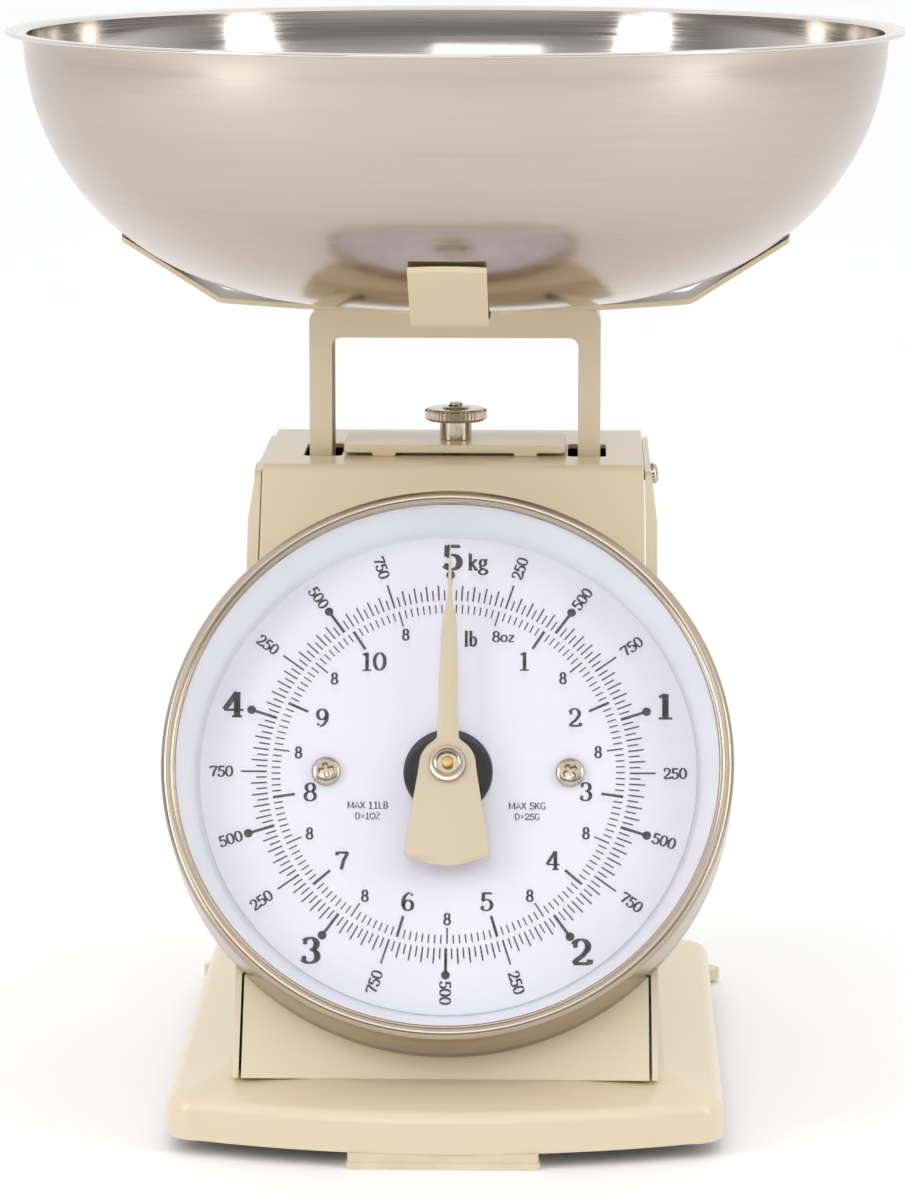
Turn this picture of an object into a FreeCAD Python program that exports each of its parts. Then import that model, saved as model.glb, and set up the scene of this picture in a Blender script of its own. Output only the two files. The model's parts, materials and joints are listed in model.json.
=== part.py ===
import FreeCAD, Part
import math
import os
from FreeCAD import Placement, Rotation, Vector

# Mechanical kitchen scale with a lift-off bowl. Millimetres, +Z up, front towards -Y.
# Everything is drawn with the bowl's axis at X = Y = 0 and the table at Z = 0.
# export() then slides it along Y, so that the origin lies under the middle of the whole object.

# Bowl: a flat bottom, a quarter-ellipse side and a turned-out rim.
RIM_R = 120.0
BOWL_R = 115.0
BOWL_FLAT_R = 40.0
RIM_Z = 277.6
BOWL_BOTTOM_Z = 206.5
BOWL_WALL = 0.9

# Housing: a sheet-metal case with a sloping front.
TILT = 28.5
TOP_Z = 164.0
TOP_FRONT_Y = -29.0
REAR_Y = 40.0
SHEET = 1.2
FLANGE = 7.0
SCREW_R = 1.5
SCREW_HOLE_R = 1.7
CHEEK_SCREW = (5.0, 157.0)
FACE_TOP_HALF = 50.5
FACE_FOOT_HALF = 52.0
CHEEK_HALF = 54.0
CHEEK_TOP_HALF = 52.3
CHEEK_BEND_Z = 150.0
CHEEK_TOP_Z = TOP_Z - 1.6
CHEEK_GAP = (0.3, 0.8)
REAR_HALF = 50.2
REAR_SCREWS = [(x, z) for x in (-41.0, 41.0) for z in (32.0, 148.0)]
SLOT_X = (30.3, 40.6)
SLOT_HALF_Y = 12.0
DIMPLE_AT = (27.0, 17.5)
DIMPLE_R = 4.0
DIMPLE_DEPTH = 0.5

# Base skirt, its ridge and the feet.
SKIRT_HALF_X = 70.8
SKIRT_CORNER_Y = -117.0
SKIRT_FRONT_Y = -128.0
SKIRT_REAR_Y = 59.0
SKIRT_CORNER_R = 9.0
SKIRT_BOTTOM_Z = 4.0
RIDGE_Z = 13.8
RIDGE_R = 4.2
RIDGE_STEPS = 5
SLOPE_RUN = 15.0
SKIRT_TOP_Z = 18.0
BASE_SCREWS = [(x, y) for x in (-58.0, 58.0) for y in (-98.0, 38.0)]

# Travel of the carriage: the pointer makes one turn while the pan sinks by one travel.
PINION_TEETH = 10
MODULE = 0.45
PITCH_R = PINION_TEETH * MODULE / 2
TRAVEL = 2 * math.pi * PITCH_R / math.cos(math.radians(TILT))

# Levers that keep the carriage upright.
LEVER_L = 50.0
PIVOT_Y = -LEVER_L
UPPER_PIVOT_Z = 106.0
LOWER_PIVOT_Z = 46.0
PIVOT_R = 2.0
LEVER_ANGLE = math.degrees(TRAVEL / 2 / LEVER_L)
LEVER_ARM_X = (29.0, 31.0)

# Carriage: yoke, platform, crossbar.
YOKE_HALF = 39.0
YOKE_DEPTH = 20.0
YOKE_FLANGE = 6.0
BEAM_TOP_Z = 203.2
BEAM_BOTTOM_Z = 195.6
YOKE_FOOT_Z = 36.0
ARM_TIP_R = 89.5
ARM_TIP_Z = 223.0
ARM_BEND_R = 63.0
ARM_WIDTH = 20.0
PLATE_T = 1.4
RIVETS = [(x, y) for x in (-22.0, 22.0) for y in (-4.0, 4.0)]
CROSSBAR_Z = (80.0, 83.5)

# Springs and the zero adjuster.
SPRING_X = 12.0
SPRING_R = 5.2
WIRE_R = 0.8
SPRING_Z = (84.4, 142.4)
SPRING_TURNS = 18
HANGER_Z = (143.3, 146.3)
STUD_R = 2.0
STUD_TOP_Z = 177.0
BRIDGE_Z = (164.9, 167.0)
KNOB_R = 8.5
KNOB_Z = (172.2, 175.5)
KNURL_TEETH = 44
NECK_R = 4.3

# Dial: heights are measured outwards from the sloping front.
DIAL_DOWN = 87.2
CARD_R = 64.1
CARD_Z = 8.0
BEZEL_R = 73.3
BEZEL_OPENING_R = 69.3
PAN_R = 71.5
BEZEL_Z = 20.0
DIAL_SCREW_X = 31.4
HAND_Z = 14.6
HAND_T = 0.8
SPINDLE_R = 1.5
RUNNING_FIT = 0.05
PINION_Z = (-27.0, -24.0)
BRACKET_Z = (-39.0, -37.5)
RACK_X = 6.6

ORIGIN_SHIFT_Y = (-SKIRT_FRONT_Y - RIM_R) / 2
FAR = 200.0


# ---------------------------------------------------------------- helpers

def xy(u, v):
    return Vector(u, v, 0)


def xz(u, v):
    return Vector(u, 0, v)


def yz(u, v):
    return Vector(0, u, v)


def box(x, y, z):
    """A block between two limits on each axis."""
    return Part.makeBox(x[1] - x[0], y[1] - y[0], z[1] - z[0], Vector(x[0], y[0], z[0]))


def rod(radius, start, end):
    """A round bar from one point to another."""
    start, end = Vector(*start), Vector(*end)
    return Part.makeCylinder(radius, (end - start).Length, start, end - start)


def disc(radius, z, inner=0.0):
    """A flat round plate on the Z axis, with an optional hole."""
    plate = rod(radius, (0, 0, z[0]), (0, 0, z[1]))
    return plate.cut(rod(inner, (0, 0, z[0] - 1), (0, 0, z[1] + 1))) if inner else plate


def rounded_outline(points, radii, place):
    """A closed outline whose corners are arcs of the given radii."""
    corners = [Vector(u, v, 0) for u, v in points]
    edges, tangents = [], []
    for i, corner in enumerate(corners):
        before = (corners[i - 1] - corner).normalize()
        after = (corners[(i + 1) % len(corners)] - corner).normalize()
        radius = radii[i] if isinstance(radii, (list, tuple)) else radii
        if radius <= 0:
            tangents.append((corner, corner, corner))
            continue
        half = before.getAngle(after) / 2
        inward = (before + after).normalize()
        reach = radius / math.tan(half)
        middle = corner + inward * (radius / math.sin(half) - radius)
        tangents.append((corner + before * reach, middle, corner + after * reach))
    for i, (start, middle, end) in enumerate(tangents):
        start, middle, end = (place(p.x, p.y) for p in (start, middle, end))
        if (end - start).Length > 1e-6:
            edges.append(Part.Arc(start, middle, end).toShape())
        following = tangents[(i + 1) % len(tangents)][0]
        following = place(following.x, following.y)
        if (following - end).Length > 1e-6:
            edges.append(Part.makeLine(end, following))
    return Part.Wire(edges)


def slab(points, radii, place, start, end):
    """An outline drawn in one plane and thickened along that plane's normal."""
    face = Part.Face(rounded_outline(points, radii, place))
    normal = place(1, 0).cross(place(0, 1))
    if place is xz:
        normal = -normal
    face.translate(normal * start)
    return face.extrude(normal * (end - start))


def turned(points):
    """A closed outline of radius and height points, turned about the Z axis."""
    edges = []
    for i, point in enumerate(points):
        if len(point) == 4:
            start = edges[-1].Vertexes[-1].Point if edges else xz(*points[i - 1][-2:])
            edges.append(Part.Arc(start, xz(*point[:2]), xz(*point[2:])).toShape())
        elif i:
            edges.append(Part.makeLine(xz(*points[i - 1][-2:]), xz(*point)))
    edges.append(Part.makeLine(xz(*points[-1][-2:]), xz(*points[0])))
    return Part.Face(Part.Wire(edges)).revolve(Vector(), Vector(0, 0, 1), 360)


def fuse(shapes):
    """One solid from several that touch or overlap."""
    return shapes[0].multiFuse(list(shapes[1:])).removeSplitter()


def mirrored(shape):
    """The same piece on the other side of the object."""
    return shape.mirror(Vector(), Vector(1, 0, 0))


def both_sides(shape):
    return [shape, mirrored(shape)]


def round_edges(shape, z):
    """The round edges that lie at one height."""
    return [e for e in shape.Edges if e.BoundBox.ZLength < 0.01 and abs(e.BoundBox.ZMin - z) < 0.01]


def knurled(radius, z, teeth, depth, chamfer):
    """A disc with a straight-knurled edge and chamfered rims."""
    points = []
    for i in range(2 * teeth):
        reach = radius if i % 2 else radius - depth
        angle = math.pi * i / teeth
        points.append((reach * math.cos(angle), reach * math.sin(angle)))
    body = slab(points, 0, xy, z[0], z[1])
    limit = turned([(0, z[0]), (radius - chamfer, z[0]), (radius, z[0] + chamfer),
                    (radius, z[1] - chamfer), (radius - chamfer, z[1]), (0, z[1])])
    return body.common(limit)


def pan_screw(head_r, head_h, shank_r, shank_l):
    """A cross-recess pan-head screw, with its seat at Z = 0 and its head above."""
    head = turned([(0, 0), (head_r, 0), (head_r, head_h * 0.35),
                   (head_r * 0.8, head_h * 0.86, head_r * 0.35, head_h), (0, head_h)])
    arm, width = head_r * 0.58, head_r * 0.2
    floor = (head_h * 0.45, head_h + 1)
    for half_x, half_y in ((arm, width), (width, arm)):
        head = head.cut(box((-half_x, half_x), (-half_y, half_y), floor))
    return fuse([head, rod(shank_r, (0, 0, 0.2), (0, 0, -shank_l))])


def placed(shape, position, axis):
    """A copy of a piece, moved so that its Z axis points along the given axis."""
    copy = shape.copy()
    copy.Placement = Placement(Vector(*position), Rotation(Vector(0, 0, 1), Vector(*axis)))
    return copy


def face_y(z, inset=0.0):
    """Where the sloping front lies at a height, or a parallel plane inside it."""
    angle = math.radians(TILT)
    return TOP_FRONT_Y - (TOP_Z - z) * math.tan(angle) + inset / math.cos(angle)


def on_dial(shape):
    """Moves a piece drawn about the Z axis onto the dial's axis, Z = 0 on the sloping front."""
    angle = math.radians(TILT)
    centre = Vector(0, TOP_FRONT_Y - DIAL_DOWN * math.sin(angle), TOP_Z - DIAL_DOWN * math.cos(angle))
    shape = shape.copy()
    shape.Placement = Placement(centre, Rotation(Vector(1, 0, 0), 90 - TILT)).multiply(shape.Placement)
    return shape


# ---------------------------------------------------------------- base

def skirt_outline(inset, z):
    """The skirt's plan: a rounded rectangle with a gently bowed front."""
    half = SKIRT_HALF_X - inset
    front, rear = SKIRT_CORNER_Y + inset, SKIRT_REAR_Y - inset
    radius = SKIRT_CORNER_R - min(inset, 3.0)
    quarter = radius * (1 - math.sqrt(0.5))
    start, end = Vector(-half + radius, front, z), Vector(half - radius, front, z)
    edges = [Part.Arc(start, Vector(0, SKIRT_FRONT_Y + inset, z), end).toShape()]
    for sign_x, y, sign_y in ((1, front, 1), (1, rear, -1), (-1, rear, -1), (-1, front, 1)):
        inner = Vector(sign_x * (half - radius), y, z)
        outer = Vector(sign_x * half, y + sign_y * radius, z)
        middle = Vector(sign_x * (half - quarter), y + sign_y * quarter, z)
        first, last = (inner, outer) if sign_x == sign_y else (outer, inner)
        if edges[-1].Vertexes[-1].Point.distanceToPoint(first) > 1e-6:
            edges.append(Part.makeLine(edges[-1].Vertexes[-1].Point, first))
        edges.append(Part.Arc(first, middle, last).toShape())
    return Part.Wire(edges)


def skirt_body(thickness, bottom):
    """The skirt's outside, or its inside at one sheet's thickness: a side, a round ridge, a slope."""
    lean = math.atan2(SKIRT_TOP_Z - RIDGE_Z, SLOPE_RUN)
    centre_z = RIDGE_Z - RIDGE_R * (1 - math.sin(lean)) / math.cos(lean)
    reach = RIDGE_R - thickness
    sections = [skirt_outline(thickness, bottom)]
    for i in range(RIDGE_STEPS + 1):
        angle = (math.pi / 2 - lean) * i / RIDGE_STEPS
        sections.append(skirt_outline(RIDGE_R - reach * math.cos(angle), centre_z + reach * math.sin(angle)))
    sections.append(skirt_outline(SLOPE_RUN + thickness * math.sin(lean),
                                  SKIRT_TOP_Z - thickness * math.cos(lean)))
    return Part.makeLoft(sections, True, True)


def base_skirt():
    shell = skirt_body(0, SKIRT_BOTTOM_Z).cut(skirt_body(SHEET, SKIRT_BOTTOM_Z - 1))
    bosses = [rod(4.0, (x, y, SKIRT_BOTTOM_Z + 1.4), (x, y, SKIRT_TOP_Z - 1.8)) for x, y in BASE_SCREWS]
    shell = fuse([shell] + [boss.common(skirt_body(0, SKIRT_BOTTOM_Z)) for boss in bosses])
    for x, y in BASE_SCREWS:
        shell = shell.cut(rod(SCREW_HOLE_R, (x, y, 0), (x, y, 14.0)))
    return shell


def bottom_cover():
    plate = Part.Face(skirt_outline(1.6, SKIRT_BOTTOM_Z)).extrude(Vector(0, 0, SHEET))
    for x, y in BASE_SCREWS:
        plate = plate.cut(rod(SCREW_HOLE_R, (x, y, 0), (x, y, 10)))
    return plate


def bottom_screws():
    screw = pan_screw(3.2, 1.6, SCREW_R, 9.0)
    return Part.makeCompound([placed(screw, (x, y, SKIRT_BOTTOM_Z), (0, 0, -1)) for x, y in BASE_SCREWS])


def front_foot():
    """A pad under the middle of the front, with a small lip along its lower edge."""
    front = SKIRT_FRONT_Y
    pad = slab([(-24, front + 0.5), (24, front + 0.5), (24, -104), (-24, -104)], [1.5, 1.5, 5, 5], xy,
               0, SKIRT_BOTTOM_Z)
    lip = slab([(-24.4, front), (24.4, front), (24.4, -112), (-24.4, -112)], 1.5, xy, 0, 1.6)
    return fuse([pad, lip])


def rear_foot():
    """A bar across the back, with a leaf-shaped ear that shows at each end."""
    bar = slab([(-62, 47), (62, 47), (62, 70), (-62, 70)], 4, xy, 0, SKIRT_BOTTOM_Z)
    ear = slab([(58, 60), (71, 60.5), (75.9, 65), (71, 69.7), (58, 70)], [0, 3, 3, 3, 0], xy,
               1.0, SKIRT_BOTTOM_Z)
    return fuse([bar] + both_sides(ear))


# ---------------------------------------------------------------- housing

def housing_block(inset, rear, foot):
    """The filled side profile of the housing, or of its inside, wider than any panel."""
    bend = 3.0 if inset < 3.0 else 0.0
    points = [(face_y(foot, inset), foot), (face_y(TOP_Z - inset, inset), TOP_Z - inset),
              (rear, TOP_Z - inset), (rear, foot)]
    return slab(points, [0, max(bend - inset, 0), 0, 0], yz, -60, 60)


def face_width(top_inset, foot_inset):
    """The front's outline, a little wider at the foot, as a block through the housing."""
    top, foot = FACE_TOP_HALF - top_inset, FACE_FOOT_HALF - foot_inset
    slant = (TOP_Z - SKIRT_TOP_Z) / math.cos(math.radians(TILT))
    points = [(-foot, DIAL_DOWN - slant - 20), (foot, DIAL_DOWN - slant - 20), (top, DIAL_DOWN),
              (top, FAR), (-top, FAR), (-top, DIAL_DOWN)]
    return on_dial(slab(points, 0, xy, -FAR, 50))


def front_cover():
    """The sloping front and the top, bent from one sheet with narrow side returns."""
    outer = housing_block(0, REAR_Y, SKIRT_TOP_Z).common(face_width(0, 0))
    shell = outer.cut(housing_block(SHEET, FAR, 0).common(face_width(SHEET, SHEET)))
    shell = shell.cut(housing_block(FLANGE, FAR, 0))
    shell = shell.cut(box((-60, 60), (30, 60), (0, TOP_Z - SHEET - 0.2)))
    slot = box(SLOT_X, (-SLOT_HALF_Y, SLOT_HALF_Y), (TOP_Z - 5, TOP_Z + 5))
    slot = slot.makeFillet(1.5, [e for e in slot.Edges if abs(e.Vertexes[0].Z - e.Vertexes[1].Z) > 1])
    for opening in both_sides(slot):
        shell = shell.cut(opening)
    shell = shell.cut(rod(3.2, (0, 0, TOP_Z - 5), (0, 0, TOP_Z + 5)))
    shell = shell.cut(on_dial(disc(4.9, (-5, 5))))
    for x in (-DIAL_SCREW_X, DIAL_SCREW_X):
        shell = shell.cut(on_dial(rod(SCREW_HOLE_R, (x, 0, -5), (x, 0, 5))))
    for hole in both_sides(cheek_screw_hole()):
        shell = shell.cut(hole)
    dimple = Part.makeSphere(DIMPLE_R, Vector(*DIMPLE_AT, TOP_Z + DIMPLE_R - DIMPLE_DEPTH))
    for press in both_sides(dimple):
        shell = shell.cut(press)
    return shell


def cheek_screw_line():
    """The middle of the screw's seat on the right cheek, and the outward direction there."""
    lean = math.atan((CHEEK_HALF - CHEEK_TOP_HALF) / (CHEEK_TOP_Z - CHEEK_BEND_Z))
    y, z = CHEEK_SCREW
    outward = Vector(math.cos(lean), 0, math.sin(lean))
    seat = Vector(CHEEK_HALF - (z - CHEEK_BEND_Z) * math.tan(lean), y, z)
    return seat + outward * 0.02, outward


def cheek_screw_hole():
    seat, outward = cheek_screw_line()
    return rod(SCREW_HOLE_R, seat - outward * 10, seat + outward * 5)


def cheek():
    """A side panel that leans in above its bend, with narrow returns beside the front and the top."""
    top = CHEEK_TOP_Z
    section = [(CHEEK_HALF - SHEET, SKIRT_TOP_Z), (CHEEK_HALF, SKIRT_TOP_Z), (CHEEK_HALF, CHEEK_BEND_Z),
               (CHEEK_TOP_HALF, top), (CHEEK_TOP_HALF - SHEET, top), (CHEEK_HALF - SHEET, CHEEK_BEND_Z)]
    filled = [(40, SKIRT_TOP_Z)] + section[1:4] + [(40, top)]
    outline = [(face_y(SKIRT_TOP_Z, 0.4), SKIRT_TOP_Z), (face_y(top, 0.4), top), (REAR_Y, top),
               (REAR_Y, SKIRT_TOP_Z)]
    outline = slab(outline, [0, 3, 2, 0], yz, 40, 60)
    panel = slab(section, 0, xz, -FAR, FAR).common(outline)
    depth = [(face_y(0, 0.4), 0), (face_y(FAR, 0.4), FAR), (face_y(FAR, 1.9), FAR), (face_y(0, 1.9), 0)]
    borders = [slab(depth, 0, yz, 40, 60), box((40, 60), (-FAR, FAR), (top - 1.5, top))]
    room = face_width(-CHEEK_GAP[0], -CHEEK_GAP[1])
    solid = slab(filled, 0, xz, -FAR, FAR).common(outline)
    edges = [solid.common(border).cut(room) for border in borders]
    return fuse([panel] + edges).cut(cheek_screw_hole())


def cheek_screws():
    screw = pan_screw(2.9, 1.7, SCREW_R, 6.0)
    return Part.makeCompound(both_sides(placed(screw, *cheek_screw_line())))


def rear_cover():
    height = (SKIRT_TOP_Z, TOP_Z - SHEET - 0.2)
    shell = box((-REAR_HALF, REAR_HALF), (REAR_Y - FLANGE, REAR_Y), height)
    shell = shell.cut(box((-REAR_HALF + SHEET, REAR_HALF - SHEET), (0, REAR_Y - SHEET), (0, FAR)))
    for x, z in REAR_SCREWS:
        shell = shell.cut(rod(SCREW_HOLE_R, (x, 0, z), (x, 60, z)))
    return shell


def rear_screws():
    screw = pan_screw(3.0, 1.8, SCREW_R, 6.0)
    return Part.makeCompound([placed(screw, (x, REAR_Y, z), (0, 1, 0)) for x, z in REAR_SCREWS])


def frame_plate():
    """An inner side plate that carries the pivot shafts, with feet and flanges turned inwards."""
    top = TOP_Z - SHEET
    rear = REAR_Y - SHEET
    outline = [(face_y(SKIRT_TOP_Z, 4.2), SKIRT_TOP_Z), (face_y(top, 4.2), top), (rear, top),
               (rear, SKIRT_TOP_Z)]
    plate = slab(outline, 0, yz, 44, 45.5)
    window = [(face_y(60, 26), 60), (face_y(96, 26), 96), (24, 140), (24, 60)]
    plate = plate.cut(slab(window, 6, yz, 40, 50))
    plate = fuse([plate,
                  box((33, 45), (-60, 20), (SKIRT_TOP_Z, SKIRT_TOP_Z + 1.5)),
                  box((41.4, 45), (-14, 30), (top - 1.5, top)),
                  box((36, 45), (rear - 1.5, rear), (SKIRT_TOP_Z, 156))])
    for z in (UPPER_PIVOT_Z, LOWER_PIVOT_Z):
        plate = plate.cut(rod(PIVOT_R, (30, PIVOT_Y, z), (60, PIVOT_Y, z)))
    for x, z in REAR_SCREWS:
        plate = plate.cut(rod(SCREW_HOLE_R, (x, 0, z), (x, 60, z)))
    return plate


def pivot_shaft(z):
    return rod(PIVOT_R, (-47, PIVOT_Y, z), (47, PIVOT_Y, z))


def adjuster_bridge():
    """The raised plate between the posts, on four tabs, that the zero knob turns on."""
    plate = slab([(-29.8, -13), (29.8, -13), (29.8, 13), (-29.8, 13)], 2.0, xy, *BRIDGE_Z)
    tabs = [box((x - 3.1, x + 3.1), (y - 1.2, y), (TOP_Z, BRIDGE_Z[1] - 0.4)) for x in (-19, 19)
            for y in (-11.8, 12.9)]
    bridge = fuse([plate] + tabs)
    return bridge.cut(disc(2.6, (TOP_Z - 5, TOP_Z + 5)))


# ---------------------------------------------------------------- zero adjuster and springs

def zero_knob():
    """A knurled nut on a round neck."""
    head = knurled(KNOB_R, KNOB_Z, KNURL_TEETH, 0.6, 0.7)
    neck = disc(NECK_R, (BRIDGE_Z[1], KNOB_Z[0]))
    boss = disc(3.4, (KNOB_Z[1], KNOB_Z[1] + 0.5))
    return fuse([head, neck, boss]).cut(disc(STUD_R + RUNNING_FIT, (BRIDGE_Z[1] - 1, STUD_TOP_Z)))


def adjuster_screw():
    stud = disc(STUD_R, (HANGER_Z[1] - 1.5, STUD_TOP_Z))
    return stud.makeChamfer(0.5, round_edges(stud, STUD_TOP_Z))


def spring_hanger():
    """The cross plate under the stud, with a plug that each spring's top coil grips."""
    bar = slab([(-19, -5), (19, -5), (19, 5), (-19, 5)], 4, xy, *HANGER_Z)
    plugs = [rod(4.1, (x, 0, HANGER_Z[0] - 5), (x, 0, HANGER_Z[0])) for x in (-SPRING_X, SPRING_X)]
    return fuse([bar] + plugs).cut(disc(STUD_R, (HANGER_Z[1] - 1.5, HANGER_Z[1] + 1)))


def spring(x):
    height = SPRING_Z[1] - SPRING_Z[0] - 2 * WIRE_R
    path = Part.Wire(Part.makeHelix(height / SPRING_TURNS, height, SPRING_R))
    section = Part.Wire([Part.makeCircle(WIRE_R, Vector(SPRING_R, 0, 0), Vector(0, 1, 0))])
    coil = path.makePipeShell([section], True, True)
    coil.translate(Vector(x, 0, SPRING_Z[0] + WIRE_R))
    return coil


# ---------------------------------------------------------------- carriage

def yoke():
    """An upside-down U, pressed as a channel that is open towards its window."""
    side, inner = YOKE_HALF, YOKE_HALF - YOKE_FLANGE
    half = YOKE_DEPTH / 2
    outline = [(-side, YOKE_FOOT_Z), (-side, BEAM_TOP_Z), (side, BEAM_TOP_Z), (side, YOKE_FOOT_Z),
               (inner, YOKE_FOOT_Z), (inner, BEAM_BOTTOM_Z), (-inner, BEAM_BOTTOM_Z), (-inner, YOKE_FOOT_Z)]
    frame = slab(outline, [0, 3.2, 3.2, 0, 0, 2.5, 2.5, 0], xz, -half, half)
    hollow = slab([(-side + SHEET, 0), (-side + SHEET, BEAM_TOP_Z - SHEET),
                   (side - SHEET, BEAM_TOP_Z - SHEET), (side - SHEET, 0)], [0, 2, 2, 0],
                  xz, -half + SHEET, half - SHEET)
    frame = frame.cut(hollow)
    for x, y in RIVETS:
        frame = frame.cut(rod(1.5, (x, y, BEAM_TOP_Z - 4), (x, y, BEAM_TOP_Z + 4)))
    for x, y, z in lever_pin_places():
        frame = frame.cut(rod(1.4, (x - 20, y, z), (x + 20, y, z)))
    return frame


def lever_pin_places():
    """Where a pin stands on each post for each lever's slot."""
    return [(sign * 33, 0, z + TRAVEL / 2) for z in (UPPER_PIVOT_Z, LOWER_PIVOT_Z) for sign in (-1, 1)]


def lever_pins():
    pins = []
    for x, y, z in lever_pin_places():
        side = math.copysign(1, x)
        shoulder = YOKE_HALF - SHEET
        pins.append(fuse([rod(PIVOT_R, (side * 27.5, y, z), (side * shoulder, y, z)),
                          rod(1.4, (side * shoulder, y, z), (side * (YOKE_HALF + 0.2), y, z))]))
    return Part.makeCompound(pins)


def platform_arm():
    """One arm: flat, then turned up to follow the bowl's side, with a round tip."""
    top = BEAM_TOP_Z + PLATE_T
    rise = (top + 1.6, ARM_TIP_Z)
    low = [(0, top - PLATE_T), (40, top - PLATE_T), (ARM_BEND_R, rise[0] - PLATE_T),
           (ARM_TIP_R + 2, rise[1] + 1.3 - PLATE_T)]
    high = [(ARM_TIP_R + 2, rise[1] + 1.3), (ARM_BEND_R - 0.4, rise[0]), (40, top), (0, top)]
    strip = slab(low + high, [0, 30, 6, 0, 0, 5, 30, 0], xz, -ARM_WIDTH / 2, ARM_WIDTH / 2)
    return strip.common(disc(ARM_TIP_R, (0, FAR * 2)))


def platform():
    arm = platform_arm()
    arms = []
    for turn in range(4):
        copy = arm.copy()
        copy.rotate(Vector(), Vector(0, 0, 1), 90 * turn)
        arms.append(copy)
    plate = fuse(arms + [disc(25, (BEAM_TOP_Z, BEAM_TOP_Z + PLATE_T))])
    for x, y in RIVETS:
        plate = plate.cut(rod(1.5, (x, y, BEAM_TOP_Z - 4), (x, y, BEAM_TOP_Z + 4)))
    return plate


def platform_rivets():
    rivets = []
    seat = BEAM_TOP_Z + PLATE_T
    for x, y in RIVETS:
        head = turned([(0, seat), (2.8, seat), (2.0, seat + 0.75, 0.5, seat + 1.0), (0, seat + 1.0)])
        tail = disc(2.4, (BEAM_TOP_Z - SHEET - 0.9, BEAM_TOP_Z - SHEET))
        shank = disc(1.5, (BEAM_TOP_Z - SHEET - 0.4, seat + 0.4))
        rivet = fuse([head, tail, shank])
        rivet.translate(Vector(x, y, 0))
        rivets.append(rivet)
    return Part.makeCompound(rivets)


def crossbar():
    """The bar between the posts that the springs pull up on."""
    reach = YOKE_HALF - SHEET
    bar = box((-reach, reach), (-6, 6), CROSSBAR_Z)
    plugs = [rod(4.1, (x, 0, CROSSBAR_Z[1] - 1), (x, 0, CROSSBAR_Z[1] + 5)) for x in (-SPRING_X, SPRING_X)]
    return fuse([bar] + plugs)


def rack():
    """A toothed bar along the slope of the front, on an arm from the crossbar."""
    pitch = math.pi * MODULE
    low, high = -2 * pitch, 12.5 * pitch
    deep = (PINION_Z[0] - 1, PINION_Z[1] + TRAVEL * math.sin(math.radians(TILT)) + 1)
    root = PITCH_R + 0.6
    bar = box((root, RACK_X), (low, high), deep)
    teeth = []
    for i in range(int(low / pitch), int(high / pitch)):
        y = (i + 0.5) * pitch
        profile = [(root + 0.1, y - 0.36), (PITCH_R - 0.36, y - 0.13), (PITCH_R - 0.36, y + 0.13),
                   (root + 0.1, y + 0.36)]
        teeth.append(slab(profile, 0, xy, *deep))
    toothed = on_dial(fuse([bar] + teeth))
    arm = box((RACK_X - 2, RACK_X), (-47, 6), (CROSSBAR_Z[0] - 6, CROSSBAR_Z[0]))
    return fuse([toothed, arm])


def lever(pivot_z):
    """Two arms on one tube, each with a slot for its post's pin, at the unloaded angle."""
    tube = rod(4.0, (-LEVER_ARM_X[1], 0, 0), (LEVER_ARM_X[1], 0, 0))
    outline = [(-4.5, -4), (LEVER_L + 5, -4.5), (LEVER_L + 5, 4.5), (-4.5, 4)]
    arm = slab(outline, [3.9, 4, 4, 3.9], yz, *LEVER_ARM_X)
    slot = slab([(LEVER_L - 2.6, -2.3), (LEVER_L + 3.2, -2.3), (LEVER_L + 3.2, 2.3), (LEVER_L - 2.6, 2.3)],
                2.2, yz, LEVER_ARM_X[0] - 1, LEVER_ARM_X[1] + 1)
    arm = arm.cut(slot)
    shape = fuse([tube] + both_sides(arm))
    shape = shape.cut(rod(PIVOT_R + RUNNING_FIT, (-50, 0, 0), (50, 0, 0)))
    shape.rotate(Vector(), Vector(1, 0, 0), LEVER_ANGLE)
    shape.translate(Vector(0, PIVOT_Y, pivot_z))
    return shape


def bowl():
    centre = RIM_Z - 1.0
    depth = centre - BOWL_BOTTOM_Z
    width = BOWL_R - BOWL_FLAT_R

    def side(shrink):
        """The quarter ellipse of the bowl's side, as an edge from the rim down to the flat."""
        ellipse = Part.Ellipse(xz(BOWL_FLAT_R + width - shrink, centre),
                               xz(BOWL_FLAT_R, centre - depth + shrink), xz(BOWL_FLAT_R, centre))
        return Part.ArcOfEllipse(ellipse, 0, math.pi / 2).toShape()

    outer, inner = side(0), side(BOWL_WALL)
    inner_rim, inner_foot = inner.Vertexes[0].Point, inner.Vertexes[-1].Point
    outer_rim, outer_foot = outer.Vertexes[0].Point, outer.Vertexes[-1].Point
    top = [xz(BOWL_R - BOWL_WALL + 1.2, RIM_Z), xz(RIM_R - 0.5, RIM_Z), xz(RIM_R, RIM_Z - 0.5),
           xz(RIM_R - 0.5, centre)]
    edges = [inner, Part.makeLine(inner_foot, xz(0, inner_foot.z)),
             Part.makeLine(xz(0, inner_foot.z), xz(0, outer_foot.z)),
             Part.makeLine(xz(0, outer_foot.z), outer_foot), outer,
             Part.makeLine(outer_rim, top[3]), Part.Arc(top[3], top[2], top[1]).toShape(),
             Part.makeLine(top[1], top[0]), Part.makeLine(top[0], inner_rim)]
    outline = Part.Wire(Part.sortEdges(edges)[0])
    return Part.Face(outline).revolve(Vector(), Vector(0, 0, 1), 360)


# ---------------------------------------------------------------- dial

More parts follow.
